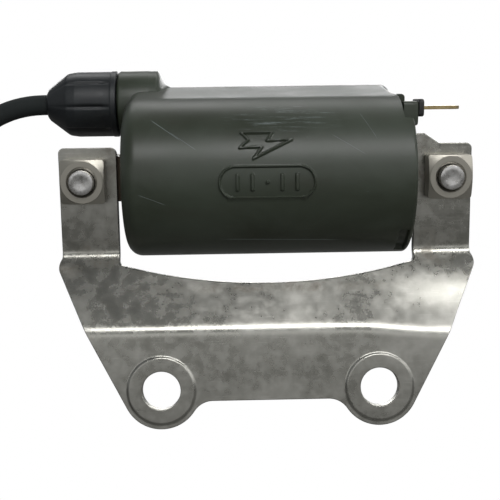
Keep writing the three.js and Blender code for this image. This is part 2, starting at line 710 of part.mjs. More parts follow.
// A small raised tab on the inner corner of the right ear.
function tabShape() {
  const low = COIL_Z + EAR_TOP - EAR_CORNER;
  const high = COIL_Z + EAR_TOP + TAB_HEIGHT;
  const inner = EAR_INNER;
  return polygon([
    [inner, low - EAR_CORNER],
    [inner + 2 * TAB_WIDTH, low - EAR_CORNER],
    [inner + TAB_WIDTH + TAB_HEIGHT, low + EAR_CORNER],
    [inner + TAB_WIDTH - TAB_HEIGHT / 2, high],
    [inner, high],
  ]);
}

// The middle of the sheet, seen from the side, as [y, z] corners from the ears down.
function sheetCorners() {
  const y = EAR_FRONT + PLATE / 2;
  const onEar = (z) => [
    COIL_Y + y * Math.cos(LEAN) - z * Math.sin(LEAN),
    COIL_Z + y * Math.sin(LEAN) + z * Math.cos(LEAN),
  ];
  const bendLevel = (-BEND_1_DROP - y * Math.sin(LEAN)) / Math.cos(LEAN);
  return [
    onEar(2 * (EAR_TOP + TAB_HEIGHT)),
    onEar(bendLevel),
    [-PLATE / 2, COIL_Z - BEND_2_DROP],
    [-PLATE / 2, -2 * LOBE_RADIUS],
  ].map(([across, up]) => new THREE.Vector2(across, up));
}

// Replaces the corner at b with an arc that touches both of its sides.
function roundedCorner(a, b, c) {
  const toA = a.clone().sub(b).normalize();
  const toC = c.clone().sub(b).normalize();
  const half = Math.acos(toA.dot(toC)) / 2;
  const inwards = toA.clone().add(toC).normalize();
  const centre = b.clone().addScaledVector(inwards, BEND_RADIUS / Math.sin(half));
  const length = BEND_RADIUS / Math.tan(half);
  const first = b.clone().addScaledVector(toA, length).sub(centre);
  const last = b.clone().addScaledVector(toC, length).sub(centre);
  const sweep = first.cross(last) > 0 ? Math.PI - 2 * half : 2 * half - Math.PI;
  return Array.from({ length: BEND_STEPS + 1 }, (_, i) =>
    first.clone().rotateAround(new THREE.Vector2(), (sweep * i) / BEND_STEPS).add(centre));
}

// The sheet's side view as a closed strip, pressed out along X.
function sheetStrip() {
  const [a, b, c, d] = sheetCorners();
  const middle = [a, ...roundedCorner(a, b, c), ...roundedCorner(b, c, d), d];
  const sides = [1, -1].map((side) => middle.map((point, i) => {
    const before = middle[Math.max(i - 1, 0)];
    const after = middle[Math.min(i + 1, middle.length - 1)];
    const along = after.clone().sub(before).normalize();
    return point.clone().add(new THREE.Vector2(along.y, -along.x).multiplyScalar((side * PLATE) / 2));
  }));
  const shape = new THREE.Shape([...sides[0], ...sides[1].reverse()]);
  const reach = 2 * EAR_OUTER;
  const strip = new THREE.ExtrudeGeometry(shape, { depth: 2 * reach, bevelEnabled: false });
  const turn = new THREE.Matrix4().makeBasis(
    new THREE.Vector3(0, 1, 0),
    new THREE.Vector3(0, 0, 1),
    new THREE.Vector3(1, 0, 0),
  );
  return strip.applyMatrix4(turn).translate(-reach, 0, 0);
}

function alongY(x, z, radius, front, back) {
  const tool = new THREE.CylinderGeometry(radius, radius, back - front, SMALL_ROUND);
  return tool.translate(x, (front + back) / 2, z);
}

function bracket() {
  const depth = 2 * COIL_Y;
  const blank = join(pressed(blankShape(), -depth, 2 * depth), pressed(tabShape(), -depth, 2 * depth));
  const sheet = intersect(sheetStrip(), blank);
  const padFront = -PLATE - PAD_HEIGHT;
  const centres = [-HOLE_SPACING / 2, HOLE_SPACING / 2];
  const pads = centres.map((x) => alongY(x, 0, PAD_RADIUS, padFront, -PLATE / 2));
  const holes = centres.map((x) => alongY(x, 0, HOLE_DIAMETER / 2, -depth, depth));
  const bolts = BOLTS.map(([, x]) => {
    const tool = alongY(x, 0, BOLT_DIAMETER / 2 + BOLT_CLEARANCE, EAR_FRONT - PLATE, -CORE_SIDE / 2);
    return tool.rotateX(LEAN).translate(0, COIL_Y, COIL_Z);
  });
  return cut(join(sheet, ...pads), ...holes, ...bolts);
}

group.add(named('bracket', 'steel', bracket()));

// ---------------------------------------------------------------- fasteners
// A body of revolution about the leaning Y axis at a bolt, from [y, radius] pairs.
function onBolt(x, profile, facets = SMALL_ROUND) {
  return turned(profile, facets).rotateZ(Math.PI / 2).translate(x, 0, 0);
}

function prism(sides, flats, front, length, x) {
  const radius = flats / 2 / Math.cos(Math.PI / sides);
  const body = new THREE.CylinderGeometry(radius, radius, length, sides);
  return body.rotateY(Math.PI / sides).translate(x, front + length / 2, 0);
}

function bolt(x) {
  const tip = NUT_FRONT - BOLT_PROUD;
  const radius = BOLT_DIAMETER / 2;
  const shank = onBolt(x, [
    [tip, 0],
    [tip, radius - BOLT_CHAMFER],
    [tip + BOLT_CHAMFER, radius],
    [HEAD_FRONT + 1, radius],
    [HEAD_FRONT + 1, 0],
  ]);
  return join(shank, prism(6, HEAD_FLATS, HEAD_FRONT, HEAD_HEIGHT, x));
}

// A square nut whose front corners are turned off round the hole.
function squareNut(x) {
  const square = prism(4, NUT_SIDE, NUT_FRONT, NUT_HEIGHT, x);
  const reach = NUT_SIDE;
  const dome = onBolt(x, [
    [NUT_FRONT, 0],
    [NUT_FRONT, NUT_CHAMFER_RADIUS],
    [NUT_FRONT + NUT_SINK, NUT_CHAMFER_RADIUS],
    [NUT_FRONT + NUT_SINK, reach],
    [NUT_FRONT + NUT_HEIGHT + 1, reach],
    [NUT_FRONT + NUT_HEIGHT + 1, 0],
  ], ROUND);
  const hole = alongY(x, 0, BOLT_DIAMETER / 2 + BOLT_CLEARANCE, NUT_FRONT - 1, NUT_FRONT + NUT_HEIGHT + 1);
  return cut(intersect(square, dome), hole);
}

function flatWasher(x) {
  const inner = BOLT_DIAMETER / 2 + BOLT_CLEARANCE;
  const front = CORE_REAR + TOUCH;
  return cut(
    alongY(x, 0, FLAT_WASHER_RADIUS, front, WASHER_REAR),
    alongY(x, 0, inner, front - 1, WASHER_REAR + 1),
  );
}

// A split ring, open on one side.
function springWasher(x) {
  const inner = BOLT_DIAMETER / 2 + BOLT_CLEARANCE;
  const front = WASHER_REAR + TOUCH;
  const half = SPRING_WASHER_GAP / 2;
  return cut(
    alongY(x, 0, SPRING_WASHER_RADIUS, front, SPRING_REAR),
    alongY(x, 0, inner, front - 1, SPRING_REAR + 1),
    block([x - half, front - 1, 0], [x + half, SPRING_REAR + 1, 2 * SPRING_WASHER_RADIUS]),
  );
}

for (const [side, x] of BOLTS) {
  leaning.add(
    named(`core_bolt_${side}`, 'zinc', bolt(x)),
    named(`square_nut_${side}`, 'steel', squareNut(x)),
    named(`flat_washer_${side}`, 'zinc', flatWasher(x)),
    named(`spring_washer_${side}`, 'steel', springWasher(x)),
  );
}

// ---------------------------------------------------------------- lead, its tied coil and its tail
function tube(route, radius) {
  const path = new THREE.CatmullRomCurve3(route.map((point) => new THREE.Vector3(...point)));
  const section = new THREE.Shape().absarc(0, 0, radius, 0, 2 * Math.PI);
  const steps = Math.round(path.getLength() / (2 * LEAD_DIAMETER)) * 2;
  return new THREE.ExtrudeGeometry(section, { steps, curveSegments: 5, extrudePath: path });
}

const leadZ = COIL_Z + TOWER_Z;
const coilX = CAP_LEFT + LEAD_ROUTE[LEAD_ROUTE.length - 1][0];
const coilY = COIL_Y + TOWER_Y;
const coilZ = leadZ - COIL_DROP;
const tailX = coilX - COIL_TURNS * COIL_PITCH;
const TURNS_HALF = LEAD_RADIUS + COIL_MARGIN;
const tailTop = coilZ - COIL_END_GAP;
const tailEnd = tailTop - TAIL_LENGTH;
const leadRoute = LEAD_ROUTE.map(([x, z]) => [CAP_LEFT + x, coilY, leadZ + z]);

function leadCoil() {
  const inner = COIL_RADIUS - TURNS_HALF;
  const outer = COIL_RADIUS + TURNS_HALF;
  const turns = ring(tailX - TURNS_HALF, coilX + TURNS_HALF, inner, outer);
  return turns.translate(0, coilY - COIL_RADIUS, coilZ);
}

// A band round the turns where the lead comes down into them.
function leadTie() {
  const half = TURNS_HALF + TOUCH;
  const band = half + TIE_THICK;
  const low = coilZ - TIE_WIDTH / 2;
  const high = coilZ + TIE_WIDTH / 2;
  return cut(
    block([tailX - band, coilY - band, low], [coilX + band, coilY + band, high]),
    block([tailX - half, coilY - half, low - 1], [coilX + half, coilY + half, high + 1]),
  );
}

group.add(
  named('ht_lead', 'rubber', tube(leadRoute, LEAD_RADIUS)),
  named('lead_coil', 'rubber', leadCoil()),
  named('lead_tail', 'rubber', tube([[tailX, coilY, tailTop], [tailX, coilY, tailEnd]], LEAD_RADIUS)),
  named('lead_tie', 'tie', leadTie()),
);

// ---------------------------------------------------------------- plug cap
// Its own frame: the arm runs up +Z to the lead, and the socket opens along -Y.
const plugCap = new THREE.Group();
plugCap.position.set(tailX, coilY, tailEnd - ARM_LEAD_DEPTH);
group.add(plugCap);

// A body of revolution about Y, from [y, radius] pairs with y rising.
function turnedY(profile, facets = ROUND) {
  return turned(profile, facets).rotateZ(Math.PI / 2);
}

// A body of revolution about Z, from [z, radius] pairs with z rising.
function turnedZ(profile, facets = ROUND) {
  return turned(profile, facets).rotateY(-Math.PI / 2);
}

function straight(turn, low, high, radius) {
  return turn([[low, 0], [low, radius], [high, radius], [high, 0]], SMALL_ROUND);
}

const SOCKET_FLOOR = -PLUG_FRONT + SOCKET_DEPTH;
const RESISTOR_END = SOCKET_FLOOR + RESISTOR_LENGTH;
const SPIKE_FOOT = RESISTOR_RADIUS + THIN_GAP;
const SPIKE_TOP = SPIKE_FOOT + PLUG_SPIKE_LENGTH - THIN_GAP;

function plugBody() {
  const main = straight(turnedY, -PLUG_FRONT, PLUG_BACK, PLUG_RADIUS);
  const arm = straight(turnedZ, 0, ARM_LENGTH, ARM_RADIUS);
  const socket = straight(turnedY, -PLUG_FRONT - 1, SOCKET_FLOOR, SOCKET_RADIUS);
  const resistorRadius = RESISTOR_RADIUS + THIN_GAP;
  const resistorBore = straight(turnedY, SOCKET_FLOOR - 1, RESISTOR_END + THIN_GAP, resistorRadius);
  const spikeBore = straight(turnedZ, 0, ARM_LEAD_DEPTH, SPIKE_RADIUS + THIN_GAP);
  const leadBore = straight(turnedZ, ARM_LEAD_DEPTH - THIN_GAP, ARM_LENGTH + 1, LEAD_BORE);
  return cut(join(main, arm), socket, resistorBore, spikeBore, leadBore);
}

function plugSpike() {
  return turnedZ([
    [SPIKE_FOOT, 0],
    [SPIKE_FOOT, SPIKE_RADIUS],
    [SPIKE_TOP - 1, SPIKE_RADIUS],
    [SPIKE_TOP - THIN_GAP, 0],
  ], SMALL_ROUND);
}

function plugContact() {
  const left = SOCKET_FLOOR - THIN_GAP - CONTACT_LENGTH;
  const right = SOCKET_FLOOR - THIN_GAP;
  const outside = [[left, CONTACT_OUTER], [right, CONTACT_OUTER]];
  const profile = [[left, CONTACT_INNER], ...outside, [right, CONTACT_INNER], [left, CONTACT_INNER]];
  return turnedY(profile, SMALL_ROUND);
}

// Rubber sleeve over the socket's mouth, with a lip that grips the plug.
function plugBoot() {
  const lipLeft = -PLUG_FRONT - BOOT_LIP;
  const inner = PLUG_RADIUS + THIN_GAP;
  const outer = inner + BOOT_WALL;
  return turnedY([
    [lipLeft, BOOT_MOUTH_RADIUS],
    [lipLeft, outer - 1],
    [lipLeft + 1, outer],
    [-PLUG_FRONT + BOOT_LENGTH, outer],
    [-PLUG_FRONT + BOOT_LENGTH, inner],
    [-PLUG_FRONT - THIN_GAP, inner],
    [-PLUG_FRONT - THIN_GAP, BOOT_MOUTH_RADIUS],
    [lipLeft, BOOT_MOUTH_RADIUS],
  ]);
}

// Rubber sleeve over the arm's end that closes on the lead.
function leadBoot() {
  const grip = ARM_LENGTH - LEAD_BOOT_GRIP;
  const top = grip + LEAD_BOOT_LENGTH;
  const inner = ARM_RADIUS + THIN_GAP;
  const outer = inner + LEAD_BOOT_WALL;
  return turnedZ([
    [grip, inner],
    [grip, outer],
    [ARM_LENGTH + 1, outer],
    [top, LEAD_BORE + LEAD_BOOT_WALL],
    [top, LEAD_BORE],
    [ARM_LENGTH + THIN_GAP, LEAD_BORE],
    [ARM_LENGTH + THIN_GAP, inner],
    [grip, inner],
  ]);
}

plugCap.add(
  named('plug_cap_body', 'rubber', plugBody()),
  named('plug_cap_boot', 'rubber', plugBoot()),
  named('plug_cap_lead_boot', 'rubber', leadBoot()),
  named('plug_cap_contact', 'brass', plugContact()),
  named('plug_cap_resistor', 'ceramic', straight(turnedY, SOCKET_FLOOR, RESISTOR_END, RESISTOR_RADIUS)),
  named('plug_cap_spike', 'brass', plugSpike()),
);

export default group;
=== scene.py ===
"""Ignition coil on a pressed steel bracket: the looks of every piece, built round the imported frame.

Lengths are held in millimetres and become metres where a mesh is written. X runs along the coil,
Y points to the back, and Z points up.
"""

import logging
import math
from dataclasses import dataclass, field
from enum import Enum
from typing import Callable, Iterable, Sequence

import bmesh
import bpy
import numpy as np
from mathutils import Matrix, Vector
from mathutils.geometry import delaunay_2d_cdt

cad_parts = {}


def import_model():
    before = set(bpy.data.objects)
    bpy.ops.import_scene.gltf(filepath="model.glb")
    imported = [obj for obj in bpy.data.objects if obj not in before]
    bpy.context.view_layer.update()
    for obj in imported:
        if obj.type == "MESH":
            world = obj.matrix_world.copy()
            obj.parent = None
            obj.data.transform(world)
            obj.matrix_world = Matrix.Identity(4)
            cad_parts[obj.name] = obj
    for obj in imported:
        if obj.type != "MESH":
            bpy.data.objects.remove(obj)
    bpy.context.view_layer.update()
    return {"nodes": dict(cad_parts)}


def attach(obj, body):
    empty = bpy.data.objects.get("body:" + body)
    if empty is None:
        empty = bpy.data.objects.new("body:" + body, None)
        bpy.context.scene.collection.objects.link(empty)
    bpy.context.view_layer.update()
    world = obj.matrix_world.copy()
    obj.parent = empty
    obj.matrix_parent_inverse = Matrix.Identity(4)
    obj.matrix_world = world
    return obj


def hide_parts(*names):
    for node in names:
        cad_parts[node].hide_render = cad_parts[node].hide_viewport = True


MM = 0.001
TAU = 2 * math.pi
SQUARE_POWER = 26.0  # of the superellipse that the core's square hole is drawn as
BEVEL_ANGLE = 40.0  # edges that turn more than this many degrees are rounded
log = logging.getLogger("ignition_coil")

Colour = tuple[float, float, float]
Points = np.ndarray
Line = Sequence[tuple[float, float]]
Corners = Sequence[tuple[float, float, float]]


# ------------------------------------------------------------------ places
@dataclass(frozen=True)
class Place:
    """A local frame: where its origin is, and how far it leans about X."""

    x: float = 0.0
    y: float = 0.0
    z: float = 0.0
    lean: float = 0.0

    def put(self, points: Points) -> Points:
        """Turns local points about X by the lean, then shifts them to the origin.

        Args:
            points: any array whose last axis is x, y, z in millimetres.

        Returns:
            The same array in the part's own frame.
        """
        angle = math.radians(self.lean)
        c, s = math.cos(angle), math.sin(angle)
        x, y, z = points[..., 0], points[..., 1], points[..., 2]
        turned = np.stack([x, y * c - z * s, y * s + z * c], axis=-1)
        return turned + np.array([self.x, self.y, self.z])


COIL = Place(0.0, 13.5, 48.9)
LEANING = Place(0.0, 13.5, 48.9, 8.0)
TOWER = Place(0.0, 24.5, 67.9)
PLUG = Place(-91.1, 24.5, -41.2)
WORLD = Place()


class Axis(Enum):
    """The local axis that a turned piece goes round."""

    X = (0, 1, 2)
    Y = (1, 2, 0)
    Z = (2, 0, 1)


# ------------------------------------------------------------------ surfaces as arrays
def lattice_faces(rows: int, cols: int, loop_rows: bool, loop_cols: bool) -> np.ndarray:
    """Four-sided faces between neighbours of a grid of points.

    Args:
        rows: how many rows the grid has.
        cols: how many points a row has.
        loop_rows: the last row joins the first.
        loop_cols: the last point of a row joins its first.

    Returns:
        An array of four vertex numbers a face.
    """
    r = np.arange(rows if loop_rows else rows - 1)
    c = np.arange(cols if loop_cols else cols - 1)
    r0, c0 = np.meshgrid(r, c, indexing="ij")
    r1, c1 = (r0 + 1) % rows, (c0 + 1) % cols
    quads = [r0 * cols + c0, r0 * cols + c1, r1 * cols + c1, r1 * cols + c0]
    return np.stack(quads, axis=-1).reshape(-1, 4)


@dataclass
class Shell:
    """Points and faces of one or more closed bodies, before they become a mesh."""

    points: Points = field(default_factory=lambda: np.zeros((0, 3)))
    faces: list = field(default_factory=list)

    def add(self, points: Points, faces: Iterable) -> "Shell":
        """Adds a body, and renumbers its faces after those that are there."""
        start = len(self.points)
        self.points = np.vstack([self.points, points.reshape(-1, 3)])
        self.faces += [[int(v) + start for v in face] for face in faces]
        return self

    def lattice(self, grid: Points, loop_rows: bool = True, loop_cols: bool = True) -> "Shell":
        """Adds a grid of points as a skin of four-sided faces.

        Args:
            grid: rows by columns by 3.
            loop_rows: the rows close on themselves.
            loop_cols: the columns close on themselves.

        Returns:
            This shell.
        """
        rows, cols = grid.shape[:2]
        return self.add(grid, lattice_faces(rows, cols, loop_rows, loop_cols))

    def box(self, low: Sequence[float], high: Sequence[float], place: Place = WORLD) -> "Shell":
        """Adds a plain block between two corners, put in its place."""
        corners = np.array([[x, y, z] for x in (low[0], high[0]) for y in (low[1], high[1])
                            for z in (low[2], high[2])], dtype=float)
        sides = [(0, 1, 3, 2), (4, 6, 7, 5), (0, 4, 5, 1), (2, 3, 7, 6), (0, 2, 6, 4), (1, 5, 7, 3)]
        return self.add(place.put(corners), sides)


def turned(profile: Points, axis: Axis, segments: int, centre: Sequence[float] = (0, 0, 0),
           shape: Callable[[Points, Points], Points] | None = None) -> Points:
    """Turns a profile round an axis.

    Each point is the axis point, plus its radius times the cosine and sine of the angle across it.

    Args:
        profile: rows of [distance along the axis, radius].
        axis: the axis it goes round.
        segments: how many angles there are.
        centre: a point on the axis.
        shape: takes (row number as a column, angle) and gives what multiplies the radius.

    Returns:
        A grid of profile rows by angles, closed round the axis.
    """
    angle = np.linspace(0, TAU, segments, endpoint=False)
    along, radius = profile[:, 0][:, None], profile[:, 1][:, None]
    if shape is not None:
        radius = radius * shape(np.arange(len(profile))[:, None], angle[None, :])
    grid = np.zeros((len(profile), segments, 3))
    a, u, v = axis.value
    grid[..., a] = along
    grid[..., u] = radius * np.cos(angle)
    grid[..., v] = radius * np.sin(angle)
    return grid + np.array(centre, dtype=float)


def rounded(corners: Corners, steps: int = 5, closed: bool = False) -> Points:
    """Replaces each corner of a line by an arc that touches both of its sides.

    Args:
        corners: [first, second, radius] for each corner; a radius of 0 keeps it sharp.
        steps: how many spans an arc has.
        closed: the line joins its own start.

    Returns:
        The points of the rounded line.
    """
    flat = np.array([c[:2] for c in corners], dtype=float)
    out: list[np.ndarray] = []
    last = len(corners)
    for i, (_, _, radius) in enumerate(corners):
        here = flat[i]
        if radius <= 0 or (not closed and i in (0, last - 1)):
            out.append(here)
            continue
        to_a = flat[i - 1] - here
        to_c = flat[(i + 1) % last] - here
        to_a, to_c = to_a / np.linalg.norm(to_a), to_c / np.linalg.norm(to_c)
        half = math.acos(float(np.clip(to_a @ to_c, -1, 1))) / 2
        if half > math.pi / 2 - 1e-3:
            out.append(here)
            continue
        inward = (to_a + to_c) / np.linalg.norm(to_a + to_c)
        centre = here + inward * radius / math.sin(half)
        first = here + to_a * radius / math.tan(half) - centre
        cross = first[0] * inward[1] - first[1] * inward[0]
        sweep = (math.pi - 2 * half) * (-1 if cross > 0 else 1)
        turn = np.linspace(0, sweep, steps + 1)
        x = first[0] * np.cos(turn) - first[1] * np.sin(turn)
        y = first[0] * np.sin(turn) + first[1] * np.cos(turn)
        out.extend(np.stack([x, y], axis=-1) + centre)
    return np.array(out)


def polar_square(half: float, power: float = 18.0) -> Callable[[Points], Points]:
    """Distance to a square with rounded corners at each angle: a superellipse of that power."""
    def reach(angle: Points) -> Points:
        c, s = np.abs(np.cos(angle)), np.abs(np.sin(angle))
        return half * (c ** power + s ** power) ** (-1 / power)
    return reach


def polar_hexagon(half: float) -> Callable[[Points], Points]:
    """Distance to the side of a hexagon at each angle: half its flats over the cosine to the flat."""
    def reach(angle: Points) -> Points:
        turn = (angle + math.pi / 6) % (math.pi / 3) - math.pi / 6
        return half / np.cos(turn)
    return reach


def smooth_max(a: Points, b: Points, width: float) -> Points:
    """The larger of two heights, with a fillet of that width where they cross."""
    near = np.clip(width - np.abs(a - b), 0, None) / width
    return np.maximum(a, b) + near ** 2 * width / 4


def smooth_step(low: float, high: float, x: Points) -> Points:
    """Rises from 0 at low to 1 at high along 3 t squared minus 2 t cubed."""
    t = np.clip((x - low) / (high - low), 0, 1)
    return t * t * (3 - 2 * t)


def line_distance(x: Points, y: Points, line: Line, closed: bool = False) -> Points:
    """Distance from each point to the nearest side of a line of corners.

    Each side's nearest point is its start plus its length times the clipped share along it.
    """
    best = np.full(np.broadcast(x, y).shape, np.inf)
    corners = list(line) + ([line[0]] if closed else [])
    for (ax, ay), (bx, by) in zip(corners, corners[1:]):
        dx, dy = bx - ax, by - ay
        t = np.clip(((x - ax) * dx + (y - ay) * dy) / (dx * dx + dy * dy + 1e-12), 0, 1)
        best = np.minimum(best, np.hypot(x - ax - t * dx, y - ay - t * dy))
    return best


def inside(points: Points, outline: Points) -> np.ndarray:
    """Which points lie inside a closed outline, by counting the sides that a ray to +X crosses."""
    x, y = points[:, 0][:, None], points[:, 1][:, None]
    ax, ay = outline[:, 0], outline[:, 1]
    bx, by = np.roll(ax, -1), np.roll(ay, -1)
    crosses = (ay > y) != (by > y)
    safe = np.where(by == ay, 1e-12, by - ay)
    return (crosses & (x < (bx - ax) * (y - ay) / safe + ax)).sum(axis=1) % 2 == 1


def stations(*spans: tuple[float, float, float]) -> np.ndarray:
    """Rising values for grid lines, from spans of (from, to, step) that join up."""
    parts = [np.linspace(a, b, max(int(round((b - a) / step)), 1) + 1) for a, b, step in spans]
    return np.unique(np.round(np.concatenate(parts), 5))


def polar(radius: Points, angle: Points) -> tuple[Points, Points]:
    """The Y and Z of a distance from the coil's axis: angle 0 faces front, and 90 degrees is the top."""
    return -radius * np.cos(angle), radius * np.sin(angle)


# ------------------------------------------------------------------ pieces
def piece(name: str, shell: Shell, finish: "Finishes", *, replaces: Sequence[str],
          body: str = "root", sharp: float = 35.0, weld: float = 0.002, bevel: float = 0.0) -> bpy.types.Object:
    """Makes a mesh object of a shell, closes its seams and poles, dresses it and ties it to its body.

    Args:
        name: the piece's name.
        shell: its points in millimetres, and its faces.
        finish: its material.
        replaces: the CAD nodes it stands for.
        body: the CAD body it moves with.
        sharp: edges that turn more than this many degrees stay sharp.
        weld: points nearer than this, in millimetres, become one.
        bevel: the width in millimetres of a rounding on its sharp edges.

    Returns:
        The new object, at the origin.
    """
    mesh = bpy.data.meshes.new(name)
    mesh.from_pydata((shell.points * MM).tolist(), [], shell.faces)
    work = bmesh.new()
    work.from_mesh(mesh)
    bmesh.ops.remove_doubles(work, verts=work.verts, dist=weld * MM)
    bmesh.ops.dissolve_degenerate(work, edges=work.edges, dist=weld * MM / 4)
    bmesh.ops.recalc_face_normals(work, faces=work.faces)
    work.to_mesh(mesh)
    work.free()
    mesh.polygons.foreach_set("use_smooth", np.ones(len(mesh.polygons), dtype=bool))
    mesh.set_sharp_from_angle(angle=math.radians(sharp))
    made = bpy.data.objects.new(name, mesh)
    bpy.context.scene.collection.objects.link(made)
    if bevel:
        edge = made.modifiers.new("edge", "BEVEL")
        edge.width, edge.segments, edge.limit_method = bevel * MM, 2, "ANGLE"
        edge.angle_limit, edge.harden_normals = math.radians(BEVEL_ANGLE), True
    finish.dress(made)
    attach(made, body)
    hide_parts(*replaces)
    log.info("%s: %d faces on %s", name, len(mesh.polygons), body)
    return made


# ------------------------------------------------------------------ materials
class Pattern:
    """A material's node tree, with short ways to add the nodes that the finishes share."""

    def __init__(self, name: str) -> None:
        """Starts a material with a Principled shader and Object coordinates."""
        self.material = bpy.data.materials.new(name)
        self.material.use_nodes = True
        self.tree = self.material.node_tree
        self.shader = self.tree.nodes["Principled BSDF"]
        self.place = self.tree.nodes.new("ShaderNodeTexCoord").outputs["Object"]

    def node(self, kind: str, **values) -> bpy.types.Node:
        """Adds a node and sets its attributes."""
        made = self.tree.nodes.new(kind)
        for key, value in values.items():
            setattr(made, key, value)
        return made

    def join(self, source, target) -> None:
        """Links a socket to a socket, or sets a plain value on it."""
        if isinstance(source, bpy.types.NodeSocket):
            self.tree.links.new(source, target)
        else:
            target.default_value = source

    def math(self, how: str, a, b=0.0, c=0.0, clamp: bool = False):
        """One Math node on sockets or numbers."""
        made = self.node("ShaderNodeMath", operation=how, use_clamp=clamp)
        for value, target in zip((a, b, c), made.inputs):
            self.join(value, target)
        return made.outputs[0]

    def stretch(self, scale: Sequence[float], turn: Sequence[float] = (0, 0, 0), vector=None):
        """The place, turned and then scaled each way, so that a pattern runs along one direction."""
        made = self.node("ShaderNodeMapping")
        self.join(vector or self.place, made.inputs["Vector"])
        made.inputs["Rotation"].default_value = turn
        made.inputs["Scale"].default_value = scale
        return made.outputs[0]

    def noise(self, scale: float, detail: float = 4.0, rough: float = 0.6, vector=None, warp: float = 0.0):
        """Noise of that many cells a metre, from 0 to 1."""
        made = self.node("ShaderNodeTexNoise")
        self.join(vector or self.place, made.inputs["Vector"])
        made.inputs["Scale"].default_value = scale
        made.inputs["Detail"].default_value = detail
        made.inputs["Roughness"].default_value = rough
        made.inputs["Distortion"].default_value = warp
        return made.outputs["Fac"]

    def band(self, value, low: float, high: float, to_low: float = 0.0, to_high: float = 1.0):
        """A value between two levels, spread smoothly between two others."""
        made = self.node("ShaderNodeMapRange", interpolation_type="SMOOTHSTEP")
        for number, target in zip((value, low, high, to_low, to_high), made.inputs):
            self.join(number, target)
        return made.outputs[0]

    def blend(self, factor, a, b, how: str = "MIX"):
        """Two colours mixed by a factor."""
        made = self.node("ShaderNodeMix", data_type="RGBA", blend_type=how)
        made.clamp_factor = True
        sockets = [s for s in made.inputs if s.type == "RGBA"]
        self.join(factor, made.inputs[0])
        for value, target in zip((a, b), sockets):
            self.join((*value, 1.0) if isinstance(value, tuple) else value, target)
        return [s for s in made.outputs if s.type == "RGBA"][0]

    def parts(self, vector=None):
        """The x, y and z of a place, as three sockets."""
        made = self.node("ShaderNodeSeparateXYZ")
        self.join(vector or self.place, made.inputs[0])
        return made.outputs

    def spot(self, centre: Sequence[float], radii: Sequence[float]):
        """1 at a place in millimetres, falling smoothly to 0 on an ellipsoid round it."""
        x, y, z = self.parts()
        total = 0.0
        for socket, middle, radius in zip((x, y, z), centre, radii):
            part = self.math("MULTIPLY_ADD", socket, 1 / (radius * MM), -middle / radius)
            total = self.math("ADD", self.math("MULTIPLY", part, part), total)
        return self.band(total, 1.0, 0.0)

    def scratch(self, a: Sequence[float], b: Sequence[float], width: float):
        """1 on a thin line between two points in millimetres, seen from the front, and 0 off it."""
        x, _, z = self.parts()
        dx, dz = b[0] - a[0], b[1] - a[1]
        length = math.hypot(dx, dz)
        ux, uz = dx / length, dz / length
        along = self.math("MULTIPLY_ADD", x, ux / MM, -(a[0] * ux + a[1] * uz))
        along = self.math("MULTIPLY_ADD", z, uz / MM, along)
        across = self.math("MULTIPLY_ADD", x, -uz / MM, a[0] * uz - a[1] * ux)
        across = self.math("ABSOLUTE", self.math("MULTIPLY_ADD", z, ux / MM, across))
        ends = self.band(self.math("ABSOLUTE", self.math("SUBTRACT", along, length / 2)), length / 2, length / 3)
        return self.math("MULTIPLY", self.band(across, width, 0.0), ends)

    def bump(self, height, strength: float, reach: float, under=None):
        """A bump of that reach in millimetres, on top of another one."""
        made = self.node("ShaderNodeBump")
        made.inputs["Strength"].default_value = strength
        made.inputs["Distance"].default_value = reach * MM
        self.join(height, made.inputs["Height"])
        if under is not None:
            self.join(under, made.inputs["Normal"])
        return made.outputs[0]

    def finish(self, colour, rough, normal=None, metal: float = 0.0, **values: float) -> bpy.types.Material:
        """Joins colour, roughness and normal to the shader, and sets its plain values by name."""
        self.join(colour, self.shader.inputs["Base Color"])
        self.join(rough, self.shader.inputs["Roughness"])
        self.shader.inputs["Metallic"].default_value = metal
        if normal is not None:
            self.join(normal, self.shader.inputs["Normal"])
        for name, value in values.items():
            self.shader.inputs[name.replace("_", " ").title().replace("Ior", "IOR")].default_value = value
        return self.material


@dataclass(frozen=True)
class Finish:
    """A mottled surface: two colours in clouds, with its own gloss, grain and dust.

    Cloud size and grain size are in cells a metre, and bumps reach that many millimetres.
    """

    name: str
    dark: Colour
    light: Colour
    rough: tuple[float, float] = (0.45, 0.6)
    metal: float = 0.0
    clouds: float = 90.0
    grain: float = 2200.0
    bump: float = 0.02
    strength: float = 0.35
    along: Colour = (1.0, 1.0, 1.0)
    dust: Colour | None = None
    dust_share: float = 0.3
    extra: tuple[tuple[str, float], ...] = ()

    def make(self) -> bpy.types.Material:
        """Builds the material: noise between the two colours, fine grain in the bump, dust on top."""
        p = Pattern(self.name)
        run = p.stretch(self.along)
        cloud = p.noise(self.clouds, 5.0, 0.62, run, 0.4)
        fine = p.noise(self.grain, 3.0, 0.6, run)
        mixed = p.math("MULTIPLY_ADD", fine, 0.35, p.math("MULTIPLY", cloud, 0.75))
        colour = p.blend(p.band(mixed, 0.36, 0.72), self.dark, self.light)
        rough = p.band(cloud, 0.3, 0.7, *self.rough)
        if self.dust is not None:
            specks = p.noise(self.clouds * 3.1, 6.0, 0.7, warp=0.8)
            share = p.math("MULTIPLY", p.band(specks, 0.52, 0.74), self.dust_share)
            colour = p.blend(share, colour, self.dust)
        normal = p.bump(fine, self.strength, self.bump)
        normal = p.bump(cloud, self.strength, self.bump * 6, normal)
        return p.finish(colour, rough, normal, self.metal, **dict(self.extra))


